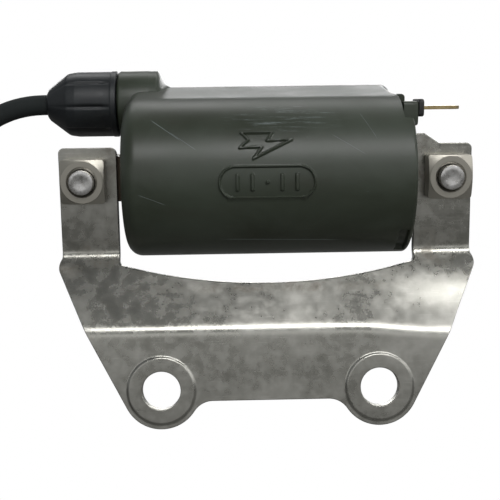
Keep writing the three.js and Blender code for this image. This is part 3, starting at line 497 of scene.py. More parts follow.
@dataclass(frozen=True)
class OliveMoulding(Finish):
    """The case's olive grey plastic: satin, with pale worn streaks along it, a painted highlight band in streaks
    across the upper front, scratches and faint tide marks.
    """

    # pale colour for worn streaks and scratches, and also for the painted highlight band on the upper front
    scuff_and_highlight: Colour = (0.30, 0.35, 0.36)
    stain: Colour = (0.030, 0.030, 0.020)

    def make(self) -> bpy.types.Material:
        """Adds pale worn streaks, a painted highlight band on the upper front, and scratches where the case has them
        to the mottled ground.
        """
        p = Pattern(self.name)
        cloud = p.noise(46.0, 5.0, 0.6, warp=0.6)
        fine = p.noise(2600.0, 3.0, 0.65)
        colour = p.blend(p.band(cloud, 0.3, 0.72), self.dark, self.light)
        colour = p.blend(p.math("MULTIPLY", p.band(fine, 0.5, 0.75), 0.22), colour, self.light)
        tide = p.band(p.noise(1.0, 5.0, 0.6, p.stretch((60.0, 60.0, 190.0)), 0.5), 0.5, 0.72)
        colour = p.blend(p.math("MULTIPLY", tide, 0.35), colour, self.stain)
        streaks = p.noise(1.0, 6.0, 0.75, p.stretch((120.0, 900.0, 1500.0), (0.0, 0.05, 0.0)), 0.3)
        # painted highlight: pale streaks in a band round the case's upper front, where the key light's reflection sits
        painted_highlight_band = p.spot((4.0, -1.0, 61.0), (17.0, 9.0, 4.5))
        scuff_and_highlight = p.math("MULTIPLY", p.band(streaks, 0.5, 0.72), painted_highlight_band)
        light = p.noise(1.0, 6.0, 0.8, p.stretch((240.0, 900.0, 1100.0), (0.0, -0.35, 0.0)), 0.4)
        scuff_and_highlight = p.math("MULTIPLY_ADD", p.band(light, 0.62, 0.78), 0.22, scuff_and_highlight, clamp=True)
        # mixes in the pale colour: worn streaks all over, plus the painted highlight band on the upper front
        colour = p.blend(p.math("MULTIPLY", scuff_and_highlight, 0.6), colour, self.scuff_and_highlight)
        lines = (((-26.2, 60.9), (-19.0, 55.6), 0.10), ((-22.0, 58.0), (-15.5, 53.4), 0.06),
                 ((-12.0, 33.8), (18.0, 33.2), 0.09), ((14.0, 57.0), (22.0, 52.0), 0.06),
                 ((21.0, 62.0), (24.5, 55.5), 0.05), ((-29.0, 44.0), (-22.5, 41.5), 0.06))
        cut = 0.0
        for a, b, width in lines:
            cut = p.math("MAXIMUM", cut, p.scratch(a, b, width))
        front = p.band(p.parts()[1], 0.012, 0.008)
        cut = p.math("MULTIPLY", cut, front)
        colour = p.blend(p.math("MULTIPLY", cut, 0.5), colour, self.scuff_and_highlight)
        rough = p.math("ADD", p.band(cloud, 0.3, 0.7, *self.rough), p.math("MULTIPLY", scuff_and_highlight, 0.12))
        normal = p.bump(fine, self.strength, self.bump)
        normal = p.bump(cloud, 0.25, 0.25, normal)
        normal = p.bump(p.math("MULTIPLY", cut, -1.0), 0.6, 0.06, normal)
        return p.finish(colour, rough, normal, **dict(self.extra))


@dataclass(frozen=True)
class PressedSteel(Finish):
    """The bracket's bare steel: dull plating in patches, fine scratches each way, brown patches at the bends and round
    the holes, and brown painted shade in the gaps between the nuts and the case.
    """

    patch: Colour = (0.62, 0.61, 0.57)
    # brown for the patches at the bends and holes, and for the painted shade beside the nuts
    brown: Colour = (0.075, 0.055, 0.034)

    def make(self) -> bpy.types.Material:
        """Layers broad patches, brushed lines, pits, brown patches and painted shade."""
        p = Pattern(self.name)
        broad = p.noise(30.0, 4.0, 0.55, warp=0.2)
        small = p.noise(420.0, 5.0, 0.55, warp=0.2)
        colour = p.blend(p.band(broad, 0.34, 0.68), self.dark, self.light)
        colour = p.blend(p.math("MULTIPLY", p.band(small, 0.35, 0.75), 0.4), colour, self.patch)
        specks = p.noise(1300.0, 3.0, 0.7)
        colour = p.blend(p.math("MULTIPLY", p.band(specks, 0.5, 0.75), 0.15), colour, self.dark)
        scratches = None
        for turn, keen in ((0.35, 0.66), (-0.6, 0.67), (1.25, 0.68)):
            thin = p.noise(1.0, 2.0, 0.5, p.stretch((150.0, 900.0, 3600.0), (0.0, turn, 0.0)), 0.15)
            line = p.band(thin, keen, keen + 0.08)
            scratches = line if scratches is None else p.math("MAXIMUM", scratches, line)
        colour = p.blend(p.math("MULTIPLY", scratches, 0.25), colour, (0.66, 0.65, 0.61))
        brown_patches_and_shade = 0.0
        # brown spots at the ear bends, along the cut-out's edge and round the foot's holes; the two by the nuts' inner
        # edges (x -37 and 36.5) are painted shade in the gap between nut and case
        for centre, radii in (((-38.0, 9.0, 31.0), (8.0, 9.0, 5.0)), ((39.0, 9.0, 31.0), (9.0, 9.0, 6.0)),
                              ((-37.0, 4.0, 52.0), (3.5, 9.0, 9.0)), ((36.5, 4.0, 50.0), (2.6, 9.0, 9.0)),
                              ((-46.0, 3.0, 27.5), (6.0, 9.0, 3.0)), ((0.0, 4.0, 22.5), (40.0, 9.0, 1.6)),
                              ((-24.6, 0.0, 0.0), (8.5, 4.0, 8.5)), ((24.6, 0.0, 0.0), (8.5, 4.0, 8.5))):
            brown_patches_and_shade = p.math("MAXIMUM", brown_patches_and_shade, p.spot(centre, radii))
        brown_patches_and_shade = p.math("MULTIPLY", brown_patches_and_shade, p.band(p.noise(300.0, 6.0, 0.62, warp=0.4), 0.34, 0.8))
        # darkens to brown in these spots, the painted shade beside the nuts included
        colour = p.blend(p.math("MULTIPLY", brown_patches_and_shade, 0.75), colour, self.brown)
        rough = p.math("ADD", p.band(small, 0.2, 0.8, *self.rough), p.math("MULTIPLY", brown_patches_and_shade, 0.2))
        rough = p.math("ADD", rough, p.band(broad, 0.35, 0.65, -0.06, 0.05))
        normal = p.bump(specks, 0.1, 0.01)
        normal = p.bump(broad, 0.5, 0.5, normal)
        normal = p.bump(p.math("MULTIPLY", scratches, -1.0), 0.2, 0.01, normal)
        metal = p.band(brown_patches_and_shade, 0.1, 0.9, 1.0, 0.6)
        p.join(metal, p.shader.inputs["Metallic"])
        made = p.finish(colour, rough, normal, 1.0, **dict(self.extra))
        return made


class Finishes(Enum):
    """Every finish of the object, each made once."""

    CASE = OliveMoulding("olive_moulding", (0.024, 0.030, 0.018), (0.041, 0.052, 0.036), (0.36, 0.48),
                         extra=(("coat_weight", 0.12), ("coat_roughness", 0.3)))
    BRACKET = PressedSteel("pressed_steel", (0.34, 0.335, 0.30), (0.50, 0.49, 0.45), (0.26, 0.36))
    NUT = Finish("nut_steel", (0.42, 0.41, 0.38), (0.66, 0.65, 0.62), (0.26, 0.42), 1.0, 300.0,
                 dust=(0.10, 0.075, 0.05), dust_share=0.55)
    BOLT = Finish("bolt_zinc", (0.45, 0.44, 0.42), (0.72, 0.71, 0.70), (0.22, 0.36), 1.0, 400.0,
                  dust=(0.16, 0.13, 0.09), dust_share=0.4)
    CORE = Finish("core_steel", (0.09, 0.075, 0.055), (0.20, 0.17, 0.13), (0.45, 0.65), 0.7, 260.0,
                  dust=(0.09, 0.045, 0.02), dust_share=0.7)
    BLADE = Finish("blade_brass", (0.36, 0.27, 0.12), (0.62, 0.50, 0.28), (0.28, 0.42), 1.0, 500.0,
                   dust=(0.06, 0.05, 0.035), dust_share=0.5)
    COLLAR = Finish("black_insulator", (0.010, 0.010, 0.010), (0.022, 0.022, 0.021), (0.5, 0.65))
    CAP = Finish("cap_moulding", (0.007, 0.009, 0.011), (0.015, 0.018, 0.020), (0.36, 0.48), 0.0, 120.0,
                 dust=(0.08, 0.09, 0.09), dust_share=0.10)
    JACKET = Finish("lead_jacket", (0.006, 0.007, 0.008), (0.012, 0.014, 0.016), (0.36, 0.48), 0.0, 160.0,
                    dust=(0.07, 0.07, 0.065), dust_share=0.08)
    RUBBER = Finish("soft_rubber", (0.012, 0.012, 0.012), (0.028, 0.027, 0.026), (0.58, 0.75),
                    dust=(0.10, 0.10, 0.09), dust_share=0.2)
    PHENOLIC = Finish("brown_phenolic", (0.028, 0.016, 0.010), (0.050, 0.028, 0.017), (0.22, 0.32), 0.0, 260.0)
    NYLON = Finish("tie_nylon", (0.014, 0.014, 0.014), (0.025, 0.025, 0.024), (0.4, 0.5), 0.0, 300.0)
    COPPER = Finish("enamelled_copper", (0.36, 0.13, 0.05), (0.58, 0.24, 0.10), (0.25, 0.35), 1.0, 300.0,
                    along=(22.0, 1.0, 1.0))
    BOARD = Finish("bobbin_board", (0.24, 0.15, 0.07), (0.40, 0.27, 0.14), (0.55, 0.7), 0.0, 300.0)
    RESIN = Finish("potting_resin", (0.030, 0.022, 0.015), (0.055, 0.040, 0.026), (0.25, 0.4), 0.0, 120.0)
    CERAMIC = Finish("resistor_ceramic", (0.50, 0.47, 0.40), (0.66, 0.63, 0.56), (0.4, 0.55), 0.0, 300.0)

    def material(self) -> bpy.types.Material:
        """The finish's material, made at its first use."""
        return bpy.data.materials.get(self.value.name) or self.value.make()

    def dress(self, *objects: bpy.types.Object) -> None:
        """Puts the finish on whole pieces."""
        for made in objects:
            made.data.materials.clear()
            made.data.materials.append(self.material())


# ------------------------------------------------------------------ studio
@dataclass(frozen=True)
class Softbox:
    """A rectangular area light that faces the coil, in millimetres and watts. The camera doesn't see it."""

    name: str
    at: Colour
    wide: float
    high: float
    power: float

    def build(self) -> None:
        """Makes the light and turns it to the coil."""
        data = bpy.data.lights.new(self.name, "AREA")
        data.shape, data.energy = "RECTANGLE", self.power
        data.size, data.size_y = self.wide * MM, self.high * MM
        made = bpy.data.objects.new(self.name, data)
        away = Vector((self.at[0], self.at[1] - COIL.y, self.at[2] - COIL.z))
        made.matrix_world = Matrix.LocRotScale(Vector(self.at) * MM, away.to_track_quat("Z", "Y"), None)
        made.visible_camera = False
        bpy.context.scene.collection.objects.link(made)


def split_by_ray(tree: bpy.types.NodeTree, lights, shows, target) -> None:
    """Joins two shaders to an output: one gives the light, and the camera sees the other."""
    path, mix = tree.nodes.new("ShaderNodeLightPath"), tree.nodes.new("ShaderNodeMixShader")
    for source, end in ((path.outputs["Is Camera Ray"], mix.inputs[0]), (lights, mix.inputs[1]),
                        (shows, mix.inputs[2]), (mix.outputs[0], target)):
        tree.links.new(source, end)


@dataclass
class Studio:
    """Camera, soft lights and a pale floor. None of it is part of the object."""

    camera_at: Colour = (-8.32, -204.36, 36.73)
    yaw: float = -1.17
    pitch: float = -1.535
    roll: float = 0.927
    lens: float = 64.98
    sensor: float = 36.0
    floor_z: float = -52.0
    floor_half: float = 1500.0
    floor_colour: Colour = (0.15, 0.15, 0.145)
    sky_tint: Colour = (0.97, 1.0, 1.02)
    sky_levels: Line = ((0.0, 0.02), (0.44, 0.10), (0.51, 0.40), (0.62, 0.30), (1.0, 0.12))
    lights: tuple[Softbox, ...] = (
        Softbox("key", (90.0, -440.0, 360.0), 460.0, 120.0, 1.5),
        Softbox("top", (40.0, 260.0, 590.0), 700.0, 200.0, 1.1),
        Softbox("front", (0.0, -700.0, 30.0), 1000.0, 170.0, 0.4),
        Softbox("side", (520.0, -260.0, 260.0), 260.0, 360.0, 0.5),
        Softbox("back", (20.0, 560.0, 250.0), 800.0, 160.0, 2.4),
    )

    def build(self) -> None:
        """Sets the camera, the sky, the floor and the lights."""
        self.camera()
        self.sky()
        self.floor()
        for light in self.lights:
            light.build()

    def camera(self) -> None:
        """Places the camera from its yaw, pitch and roll: the product of three turns."""
        data = bpy.data.cameras.new("camera")
        data.lens, data.sensor_width = self.lens, self.sensor
        data.clip_start, data.clip_end = 0.01, 20.0
        made = bpy.data.objects.new("camera", data)
        yaw, pitch, roll = (math.radians(a) for a in (self.yaw, self.pitch, self.roll))
        turn = Matrix.Rotation(yaw, 3, "Z") @ Matrix.Rotation(pitch, 3, "X") @ Matrix.Rotation(roll, 3, "Y")
        right, ahead, up = turn.col
        facing = Matrix((right, up, -ahead)).transposed().to_quaternion()
        made.matrix_world = Matrix.LocRotScale(Vector(self.camera_at) * MM, facing, None)
        bpy.context.scene.collection.objects.link(made)
        bpy.context.scene.camera = made
        bpy.context.scene.view_settings.view_transform = "Standard"

    def sky(self) -> None:
        """A soft sky, brightest at the horizon, that stands white behind the object.

        A direction's height from -1 to 1 is halved and raised by a half, and read off the levels.
        """
        world = bpy.data.worlds.new("studio")
        bpy.context.scene.world = world
        world.use_nodes = True
        tree = world.node_tree
        tree.nodes.clear()
        where, split, shift, ramp, glow, white, out = (tree.nodes.new(f"ShaderNode{kind}") for kind in (
            "TexCoord", "SeparateXYZ", "Math", "ValToRGB", "Background", "Background", "OutputWorld"))
        shift.operation = "MULTIPLY_ADD"
        shift.inputs[1].default_value = shift.inputs[2].default_value = 0.5
        while len(ramp.color_ramp.elements) < len(self.sky_levels):
            ramp.color_ramp.elements.new(self.sky_levels[-2][0])
        for element, (at, level) in zip(ramp.color_ramp.elements, self.sky_levels):
            element.position, element.color = at, (*(level * tint for tint in self.sky_tint), 1.0)
        for source, end in ((where.outputs["Generated"], split.inputs[0]), (split.outputs["Z"], shift.inputs[0]),
                            (shift.outputs[0], ramp.inputs[0]), (ramp.outputs["Color"], glow.inputs["Color"])):
            tree.links.new(source, end)
        white.inputs["Color"].default_value = (1.0, 1.0, 1.0, 1.0)
        split_by_ray(tree, glow.outputs[0], white.outputs[0], out.inputs["Surface"])

    def floor(self) -> None:
        """A pale floor that the camera sees as white, and that gives little light back."""
        half, z = self.floor_half * MM, self.floor_z * MM
        mesh = bpy.data.meshes.new("floor")
        corners = [(-half, -half, z), (half, -half, z), (half, half, z), (-half, half, z)]
        mesh.from_pydata(corners, [], [(0, 1, 2, 3)])
        made = bpy.data.objects.new("floor", mesh)
        bpy.context.scene.collection.objects.link(made)
        material = bpy.data.materials.new("pale_floor")
        material.use_nodes = True
        tree = material.node_tree
        cloth, glow = tree.nodes["Principled BSDF"], tree.nodes.new("ShaderNodeEmission")
        cloth.inputs["Base Color"].default_value = (*self.floor_colour, 1.0)
        cloth.inputs["Roughness"].default_value = 0.9
        split_by_ray(tree, cloth.outputs[0], glow.outputs[0], tree.nodes["Material Output"].inputs["Surface"])
        mesh.materials.append(material)


# ------------------------------------------------------------------ moulded case
@dataclass
class Housing:
    """The moulded case with its outlet tower and rib, its raised marks, and the end cap."""

    radius: float = 18.9
    left: float = -32.9
    right: float = 33.4
    fillet: float = 3.4
    rim: float = 0.9
    wall: float = 2.0
    cavity_left: float = -30.5
    core_half: float = 5.6
    tower_centre: tuple[float, float] = (11.0, 19.0)
    tower_radius: float = 8.06
    tower_drop: float = 4.68
    tower_left: float = -35.7
    tower_right: float = -24.2
    rib_centre: tuple[float, float] = (11.0, 16.7)
    rib_radius: float = 6.3
    rib_right: float = 32.1
    rib_slope: float = 2.6
    flank: tuple[float, float] = (72.4, 111.8)
    join_width: float = 1.0
    tower_join: float = 2.2
    mark_height: float = 0.5
    mark_line: float = 0.26
    notch: tuple[float, float, float] = (31.15, 38.0, 79.0)
    slot: tuple[float, float, float, float] = (30.1, 32.3, -75.0, -47.0)
    slot_depth: float = 1.0
    pill_middle: tuple[float, float] = (-0.15, -2.63)
    pill_half: tuple[float, float] = (10.6, 3.5)
    spark_middle: tuple[float, float] = (-0.3, 5.75)
    face: Corners = ((28.4, 16.75, 0.4), (32.9, 16.75, 0.35), (32.9, 15.2, 0.3), (32.5, 14.8, 0.3), (32.5, 9.4, 0.3),
                     (32.9, 9.1, 0.3))
    boss: Corners = ((-10.4, 11.65, 0.8), (-1.4, 11.65, 0.8), (-1.4, 17.2, 0.9), (-10.4, 17.2, 0.9))
    boss_steps: Line = ((31.5, 0.0), (31.5, 1.0), (34.35, 1.0), (34.7, 0.96), (34.85, 0.88), (34.85, 0.0))
    tower: Corners = ((-46.7, 2.85, 0), (-46.7, 5.7, 0.5), (-35.7, 5.7, 0.3), (-35.7, 8.1, 0.7), (-27.6, 8.1, 0.5),
                      (-27.6, 1.3, 0), (-37.55, 1.3, 0), (-37.55, 2.85, 0))

    def build(self) -> None:
        """Builds the case and the end cap, and dresses them."""
        case, lid = Shell(), Shell()
        self.skin(case)
        self.outlet(case)
        self.end_cap(lid)
        for name, shell, node in (("coil_case_moulded", case, "coil_case"), ("end_cap_moulded", lid, "end_cap")):
            piece(name, shell, Finishes.CASE, replaces=[node], sharp=42)

    def ray(self, centre: tuple[float, float], radius: Points, angle: Points) -> Points:
        """How far out a ray from the coil's axis leaves a round bar beside it.

        With c the bar's centre and d the ray: c.d plus the root of radius squared minus c squared plus
        (c.d) squared, and 0 where the ray misses.
        """
        along = -centre[0] * np.cos(angle) + centre[1] * np.sin(angle)
        root = radius ** 2 - centre[0] ** 2 - centre[1] ** 2 + along ** 2
        return np.where((root > 0) & (along > 0), along + np.sqrt(np.clip(root, 0, None)), 0.0)

    def marks(self, x: Points, arc: Points) -> Points:
        """Raised lines on the front: a spark's outline over a long ring with plain bars in it.

        Each line's height falls smoothly from its middle to its edge, by distance to its corners.
        """
        sx, sy = self.spark_middle
        spark = [(-5.6, 2.9), (1.4, 2.9), (0.2, 0.9), (5.8, 1.1), (-2.9, -3.2), (-0.9, -0.5), (-5.9, -0.7),
                 (-3.9, 1.1)]
        lines = line_distance(x - sx, arc - sy, spark, closed=True)
        px, py = self.pill_middle
        half_x, half_y = self.pill_half
        straight = half_x - half_y
        ring = np.abs(np.hypot(np.clip(np.abs(x - px) - straight, 0, None), arc - py) - half_y)
        near = np.minimum(lines, ring)
        for at in (-6.6, -3.3, 0.0, 3.3, 6.6):
            tall = 1.55 if at else 0.0
            near = np.minimum(near, line_distance(x - px - at, arc - py, [(0.0, -tall), (0.0, tall)]) - 0.12)
        return self.mark_height * (1 - smooth_step(self.mark_line * 0.45, self.mark_line * 1.25, near))

    def columns(self) -> Points:
        """Degrees round the coil of the grid's columns, closer together where the skin changes quickly."""
        _, low, high = self.notch
        degrees = stations((-180, -150, 3), (-150, -78, 2), (-78, -73, 0.5), (-73, -49, 2), (-49, -44, 0.5),
                           (-44, -18, 2), (-18, 31, 0.5), (31, 72, 1.5), (72, 116, 0.5), (116, 136, 1.0),
                           (136, 146, 0.5), (146, 180, 2))[:-1]
        return np.union1d(degrees, [low - 0.2, low + 0.2, high - 0.2, high + 0.2])

    def barrel(self) -> tuple[Points, Points]:
        """X and radius of the plain cylinder: a large quarter arc at the left, and a small one at the rim."""
        turn = np.linspace(0, math.pi / 2, 11)
        left_x = self.left + self.fillet * (1 - np.cos(turn))
        left_r = self.radius - self.fillet * (1 - np.sin(turn))
        right_x = self.right - self.rim * (1 - np.sin(turn))
        right_r = self.radius - self.rim * (1 - np.cos(turn))
        middle = stations((left_x[-1] + 0.5, -25.5, 0.5), (-25.5, -23.0, 0.25), (-23, -11.5, 1.0), (-11.5, 11.2, 0.16),
                          (11.2, 24.0, 0.9), (24.0, 27.6, 0.2), (27.6, 29.9, 0.6), (29.9, right_x[0] - 0.05, 0.12))
        x = np.concatenate([left_x, middle, right_x])
        return x[:, None], np.concatenate([left_r, np.full(len(middle), self.radius), right_r])[:, None]

    def bars(self, base: Points, x: Points, angle: Points, degrees: Points) -> Points:
        """The cylinder with the rib, its flat front and the tower, as the smooth maximum of them all.

        The flat front touches both the cylinder and the rib: the case's radius over the cosine of the
        angle past the flank.
        """
        tower = self.tower_radius - self.tower_drop * smooth_step(self.tower_right - 2.0, self.tower_right + 1.1, x)
        tower = np.where(x <= self.tower_right + 1.1, tower, 0.0)
        slope = np.clip(x - (self.rib_right - self.rib_slope), 0, self.rib_slope)
        rib = np.where(x <= self.rib_right, self.rib_radius - self.rib_slope
                       + np.sqrt(np.clip(self.rib_slope ** 2 - slope ** 2, 0, None)), 0.0)
        past = angle - math.radians(self.flank[0])
        filled = (past > 0) & (degrees < self.flank[1])
        rise = np.where(filled, self.radius / np.cos(np.where(filled, past, 0.0)) - self.radius, 0.0)
        ends = smooth_step(self.tower_left, self.left + 2.0, x) * (1 - smooth_step(self.rib_right - 2.4,
                                                                                   self.rib_right, x))
        round_rib = smooth_max(base + 0 * angle, self.ray(self.rib_centre, rib, angle), self.join_width)
        outer = np.maximum(base + rise * ends, round_rib)
        return smooth_max(outer, self.ray(self.tower_centre, tower, angle), self.tower_join)

    def skin(self, shell: Shell) -> None:
        """The hollow case: rings out of the core's hole, round the outside, and back through the cavity.

        The marks stand up from the outside and the slot sinks into it. In the notch's angles, what lies
        past the notch's floor is drawn back to it.
        """
        degrees = self.columns()[None, :]
        angle = np.radians(degrees)
        x, base = self.barrel()
        outer = self.bars(base, x, angle, degrees)
        outer = outer + self.marks(x + 0 * angle, self.radius * angle + 0 * x)
        left, right, bottom, top = self.slot
        along_slot = smooth_step(left - 0.1, left + 0.1, x) * (1 - smooth_step(right - 0.1, right + 0.1, x))
        round_slot = smooth_step(bottom - 1, bottom + 1, degrees) * (1 - smooth_step(top - 1, top + 1, degrees))
        outer = outer - self.slot_depth * along_slot * round_slot
        full, inner = np.ones_like(angle), self.radius - self.wall
        square = polar_square(self.core_half, SQUARE_POWER)(angle - math.radians(LEANING.lean))
        before = [(self.cavity_left, square), (self.left, square), (self.left, 0.5 * (square + inner * full)),
                  (self.left, (self.radius - self.fillet - 0.2) * full)]
        after = [(self.right, inner * full), (self.cavity_left + 8, inner * full), (self.cavity_left, inner * full)]
        radius = np.vstack([r for _, r in before] + [outer] + [r for _, r in after])
        along = np.concatenate([[a for a, _ in before], x[:, 0], [a for a, _ in after]])[:, None]
        floor, low, high = self.notch
        in_notch = smooth_step(low - 0.1, low + 0.1, degrees) * (1 - smooth_step(high - 0.1, high + 0.1, degrees))
        along = along - 0.97 * np.clip(along - floor, 0, None) * in_notch
        shell.lattice(COIL.put(np.stack([along, *polar(radius, angle)], axis=-1)))

    def outlet(self, shell: Shell) -> None:
        """The tower and its nipple, bored for the lead: a closed profile turned round the tower's axis."""
        shell.lattice(TOWER.put(turned(rounded(self.tower, closed=True), Axis.X, 96)))

    def end_cap(self, shell: Shell) -> None:
        """The lid, set into the case round the core's square hole, and the boss that comes through the notch."""
        outside = rounded(self.face)
        angle = np.radians(np.arange(0, 360, 2.5))[None, :]
        square = polar_square(self.core_half, SQUARE_POWER)(angle - math.radians(LEANING.lean))
        radius = np.vstack([outside[:, 1:] * np.ones_like(angle), square, square])
        along = np.concatenate([outside[:, 0], [self.face[-1][0], self.face[0][0]]])[:, None]
        shell.lattice(COIL.put(np.stack([along + 0 * radius, *polar(radius, angle)], axis=-1)))
        boss = carried(rounded(self.boss, closed=True), np.array(self.boss_steps))
        shell.lattice(LEANING.put(boss), loop_rows=False)


def carried(section: Points, steps: Points) -> Points:
    """Carries a closed outline in Y and Z along X, scaled about its own middle at each step.

    Args:
        section: the outline's points.
        steps: rows of [x, scale].

    Returns:
        A grid of steps by outline points.
    """
    middle = (section.max(axis=0) + section.min(axis=0)) / 2
    flat = middle + (section - middle)[None, :, :] * steps[:, 1][:, None, None]
    x = np.broadcast_to(steps[:, 0][:, None], flat.shape[:2])
    return np.concatenate([x[..., None], flat], axis=-1)


@dataclass
class Terminal:
    """The primary terminal: a flat blade that stands out of a black collar."""

    y: float = -5.9
    z: float = 15.65
    collar: tuple[float, float] = (35.0, 36.3)
    collar_size: tuple[float, float] = (7.6, 4.0)
    blade_x: tuple[float, float, float] = (31.9, 36.6, 44.6)
    blade_size: tuple[float, float] = (6.3, 0.8)
    tip: float = 1.0

    def build(self) -> None:
        """Builds the collar and the blade."""
        wide, high = (size / 2 for size in self.collar_size)
        outline = rounded([(self.y + side * wide, self.z + level * high, 0.8)
                           for side, level in ((-1, -1), (1, -1), (1, 1), (-1, 1))], closed=True)
        a, b = self.collar
        steps = np.array([[a, 0.0], [a, 0.97], [a + 0.15, 1.0], [b - 0.3, 1.0], [b, 0.9], [b, 0.0]])
        collar = Shell().lattice(LEANING.put(carried(outline, steps)), loop_rows=False)
        piece("terminal_collar_moulded", collar, Finishes.COLLAR, replaces=["terminal_collar"])
        blade = Shell()
        self.blade(blade)
        piece("terminal_blade_pressed", blade, Finishes.BLADE, replaces=["terminal_blade"], sharp=20)

    def blade(self, shell: Shell) -> None:
        """The blade's flat outline with chamfered corners and thinned edges, carried through its thickness."""
        wide, thick = self.blade_size
        left, shoulder, right = self.blade_x
        half, low = wide / 2, wide / 2 - 0.1
        outline = np.array([(left, -low), (shoulder, -low), (shoulder, -half), (right - self.tip, -half),
                            (right, -half + self.tip), (right, half - self.tip), (right - self.tip, half),
                            (shoulder, half), (shoulder, low), (left, low)])
        middle = np.array([(left + right) / 2, 0.0])
        rows = []
        for height, inset in ((-0.5, 0.12), (-0.32, 0.0), (0.32, 0.0), (0.5, 0.12)):
            flat = outline - np.sign(outline - middle) * inset
            level = np.full(len(flat), self.z + height * thick)
            rows.append(np.column_stack([flat[:, 0], flat[:, 1] + self.y, level]))
        grid = np.array(rows)
        count = len(outline)
        faces = lattice_faces(4, count, False, True).tolist()
        faces += [list(range(count))[::-1], list(range(3 * count, 4 * count))]
        shell.add(LEANING.put(grid), faces)


# ------------------------------------------------------------------ screw cap and lead
@dataclass
class ScrewCap:
    """The fluted cap that clamps the lead in the tower; it turns and moves with its own bodies."""

    left: float = -53.6
    mouth: float = -36.0
    radius: float = 8.02
    nose_radius: float = 3.3
    nose: float = 7.6
    bore: float = 2.85
    thread_bore: float = 6.0
    shoulder: float = -49.6
    flutes: int = 8
    flute_depth: float = 0.42
    flute_start: float = 12.0

    def build(self) -> None:
        """Turns the cap's closed profile, with shallow grooves along its barrel."""
        outside = rounded([(self.left, self.bore, 0), (self.left, self.nose_radius, 0.3),
                           (self.left + 0.5, self.nose_radius + 0.7, 0.4), (self.left + 5.3, 7.7, 2.0),
                           (self.left + self.nose, self.radius, 1.5), (self.mouth - 3.4, self.radius, 0)])
        barrel = stations((self.left + self.nose + 2.2, self.mouth - 3.4, 0.5))
        rim = rounded([(self.mouth - 3.3, self.radius, 0), (self.mouth - 1.5, self.radius, 0.2),
                       (self.mouth - 1.3, self.radius + 0.12, 0.15), (self.mouth, self.radius + 0.12, 0.35),
                       (self.mouth, self.thread_bore, 0.3), (self.shoulder, self.thread_bore, 0),
                       (self.shoulder, self.bore, 0)])
        profile = np.vstack([outside[:-1], np.column_stack([barrel, np.full(len(barrel), self.radius)]), rim])
        x, r = profile[:, 0], profile[:, 1]
        depth = smooth_step(self.left + 3.0, self.left + self.nose + 1.5, x)
        depth = depth * (1 - smooth_step(self.mouth - 3.4, self.mouth - 2.4, x)) * (r > self.thread_bore + 0.4)

        def grooves(row: Points, angle: Points) -> Points:
            """One minus a narrow round-bottomed groove at each flute's angle."""
            step = TAU / self.flutes
            off = (angle - math.pi / 2 - math.radians(self.flute_start) + step / 2) % step - step / 2
            cut = np.exp(-((off * self.radius / 0.42) ** 2))
            return 1 - cut * (self.flute_depth * depth)[row] / self.radius

        grid = turned(profile, Axis.X, 288, shape=grooves)
        piece("lead_cap_fluted", Shell().lattice(TOWER.put(grid)), Finishes.CAP, replaces=["lead_cap"],
              body="screw_cap", sharp=50)


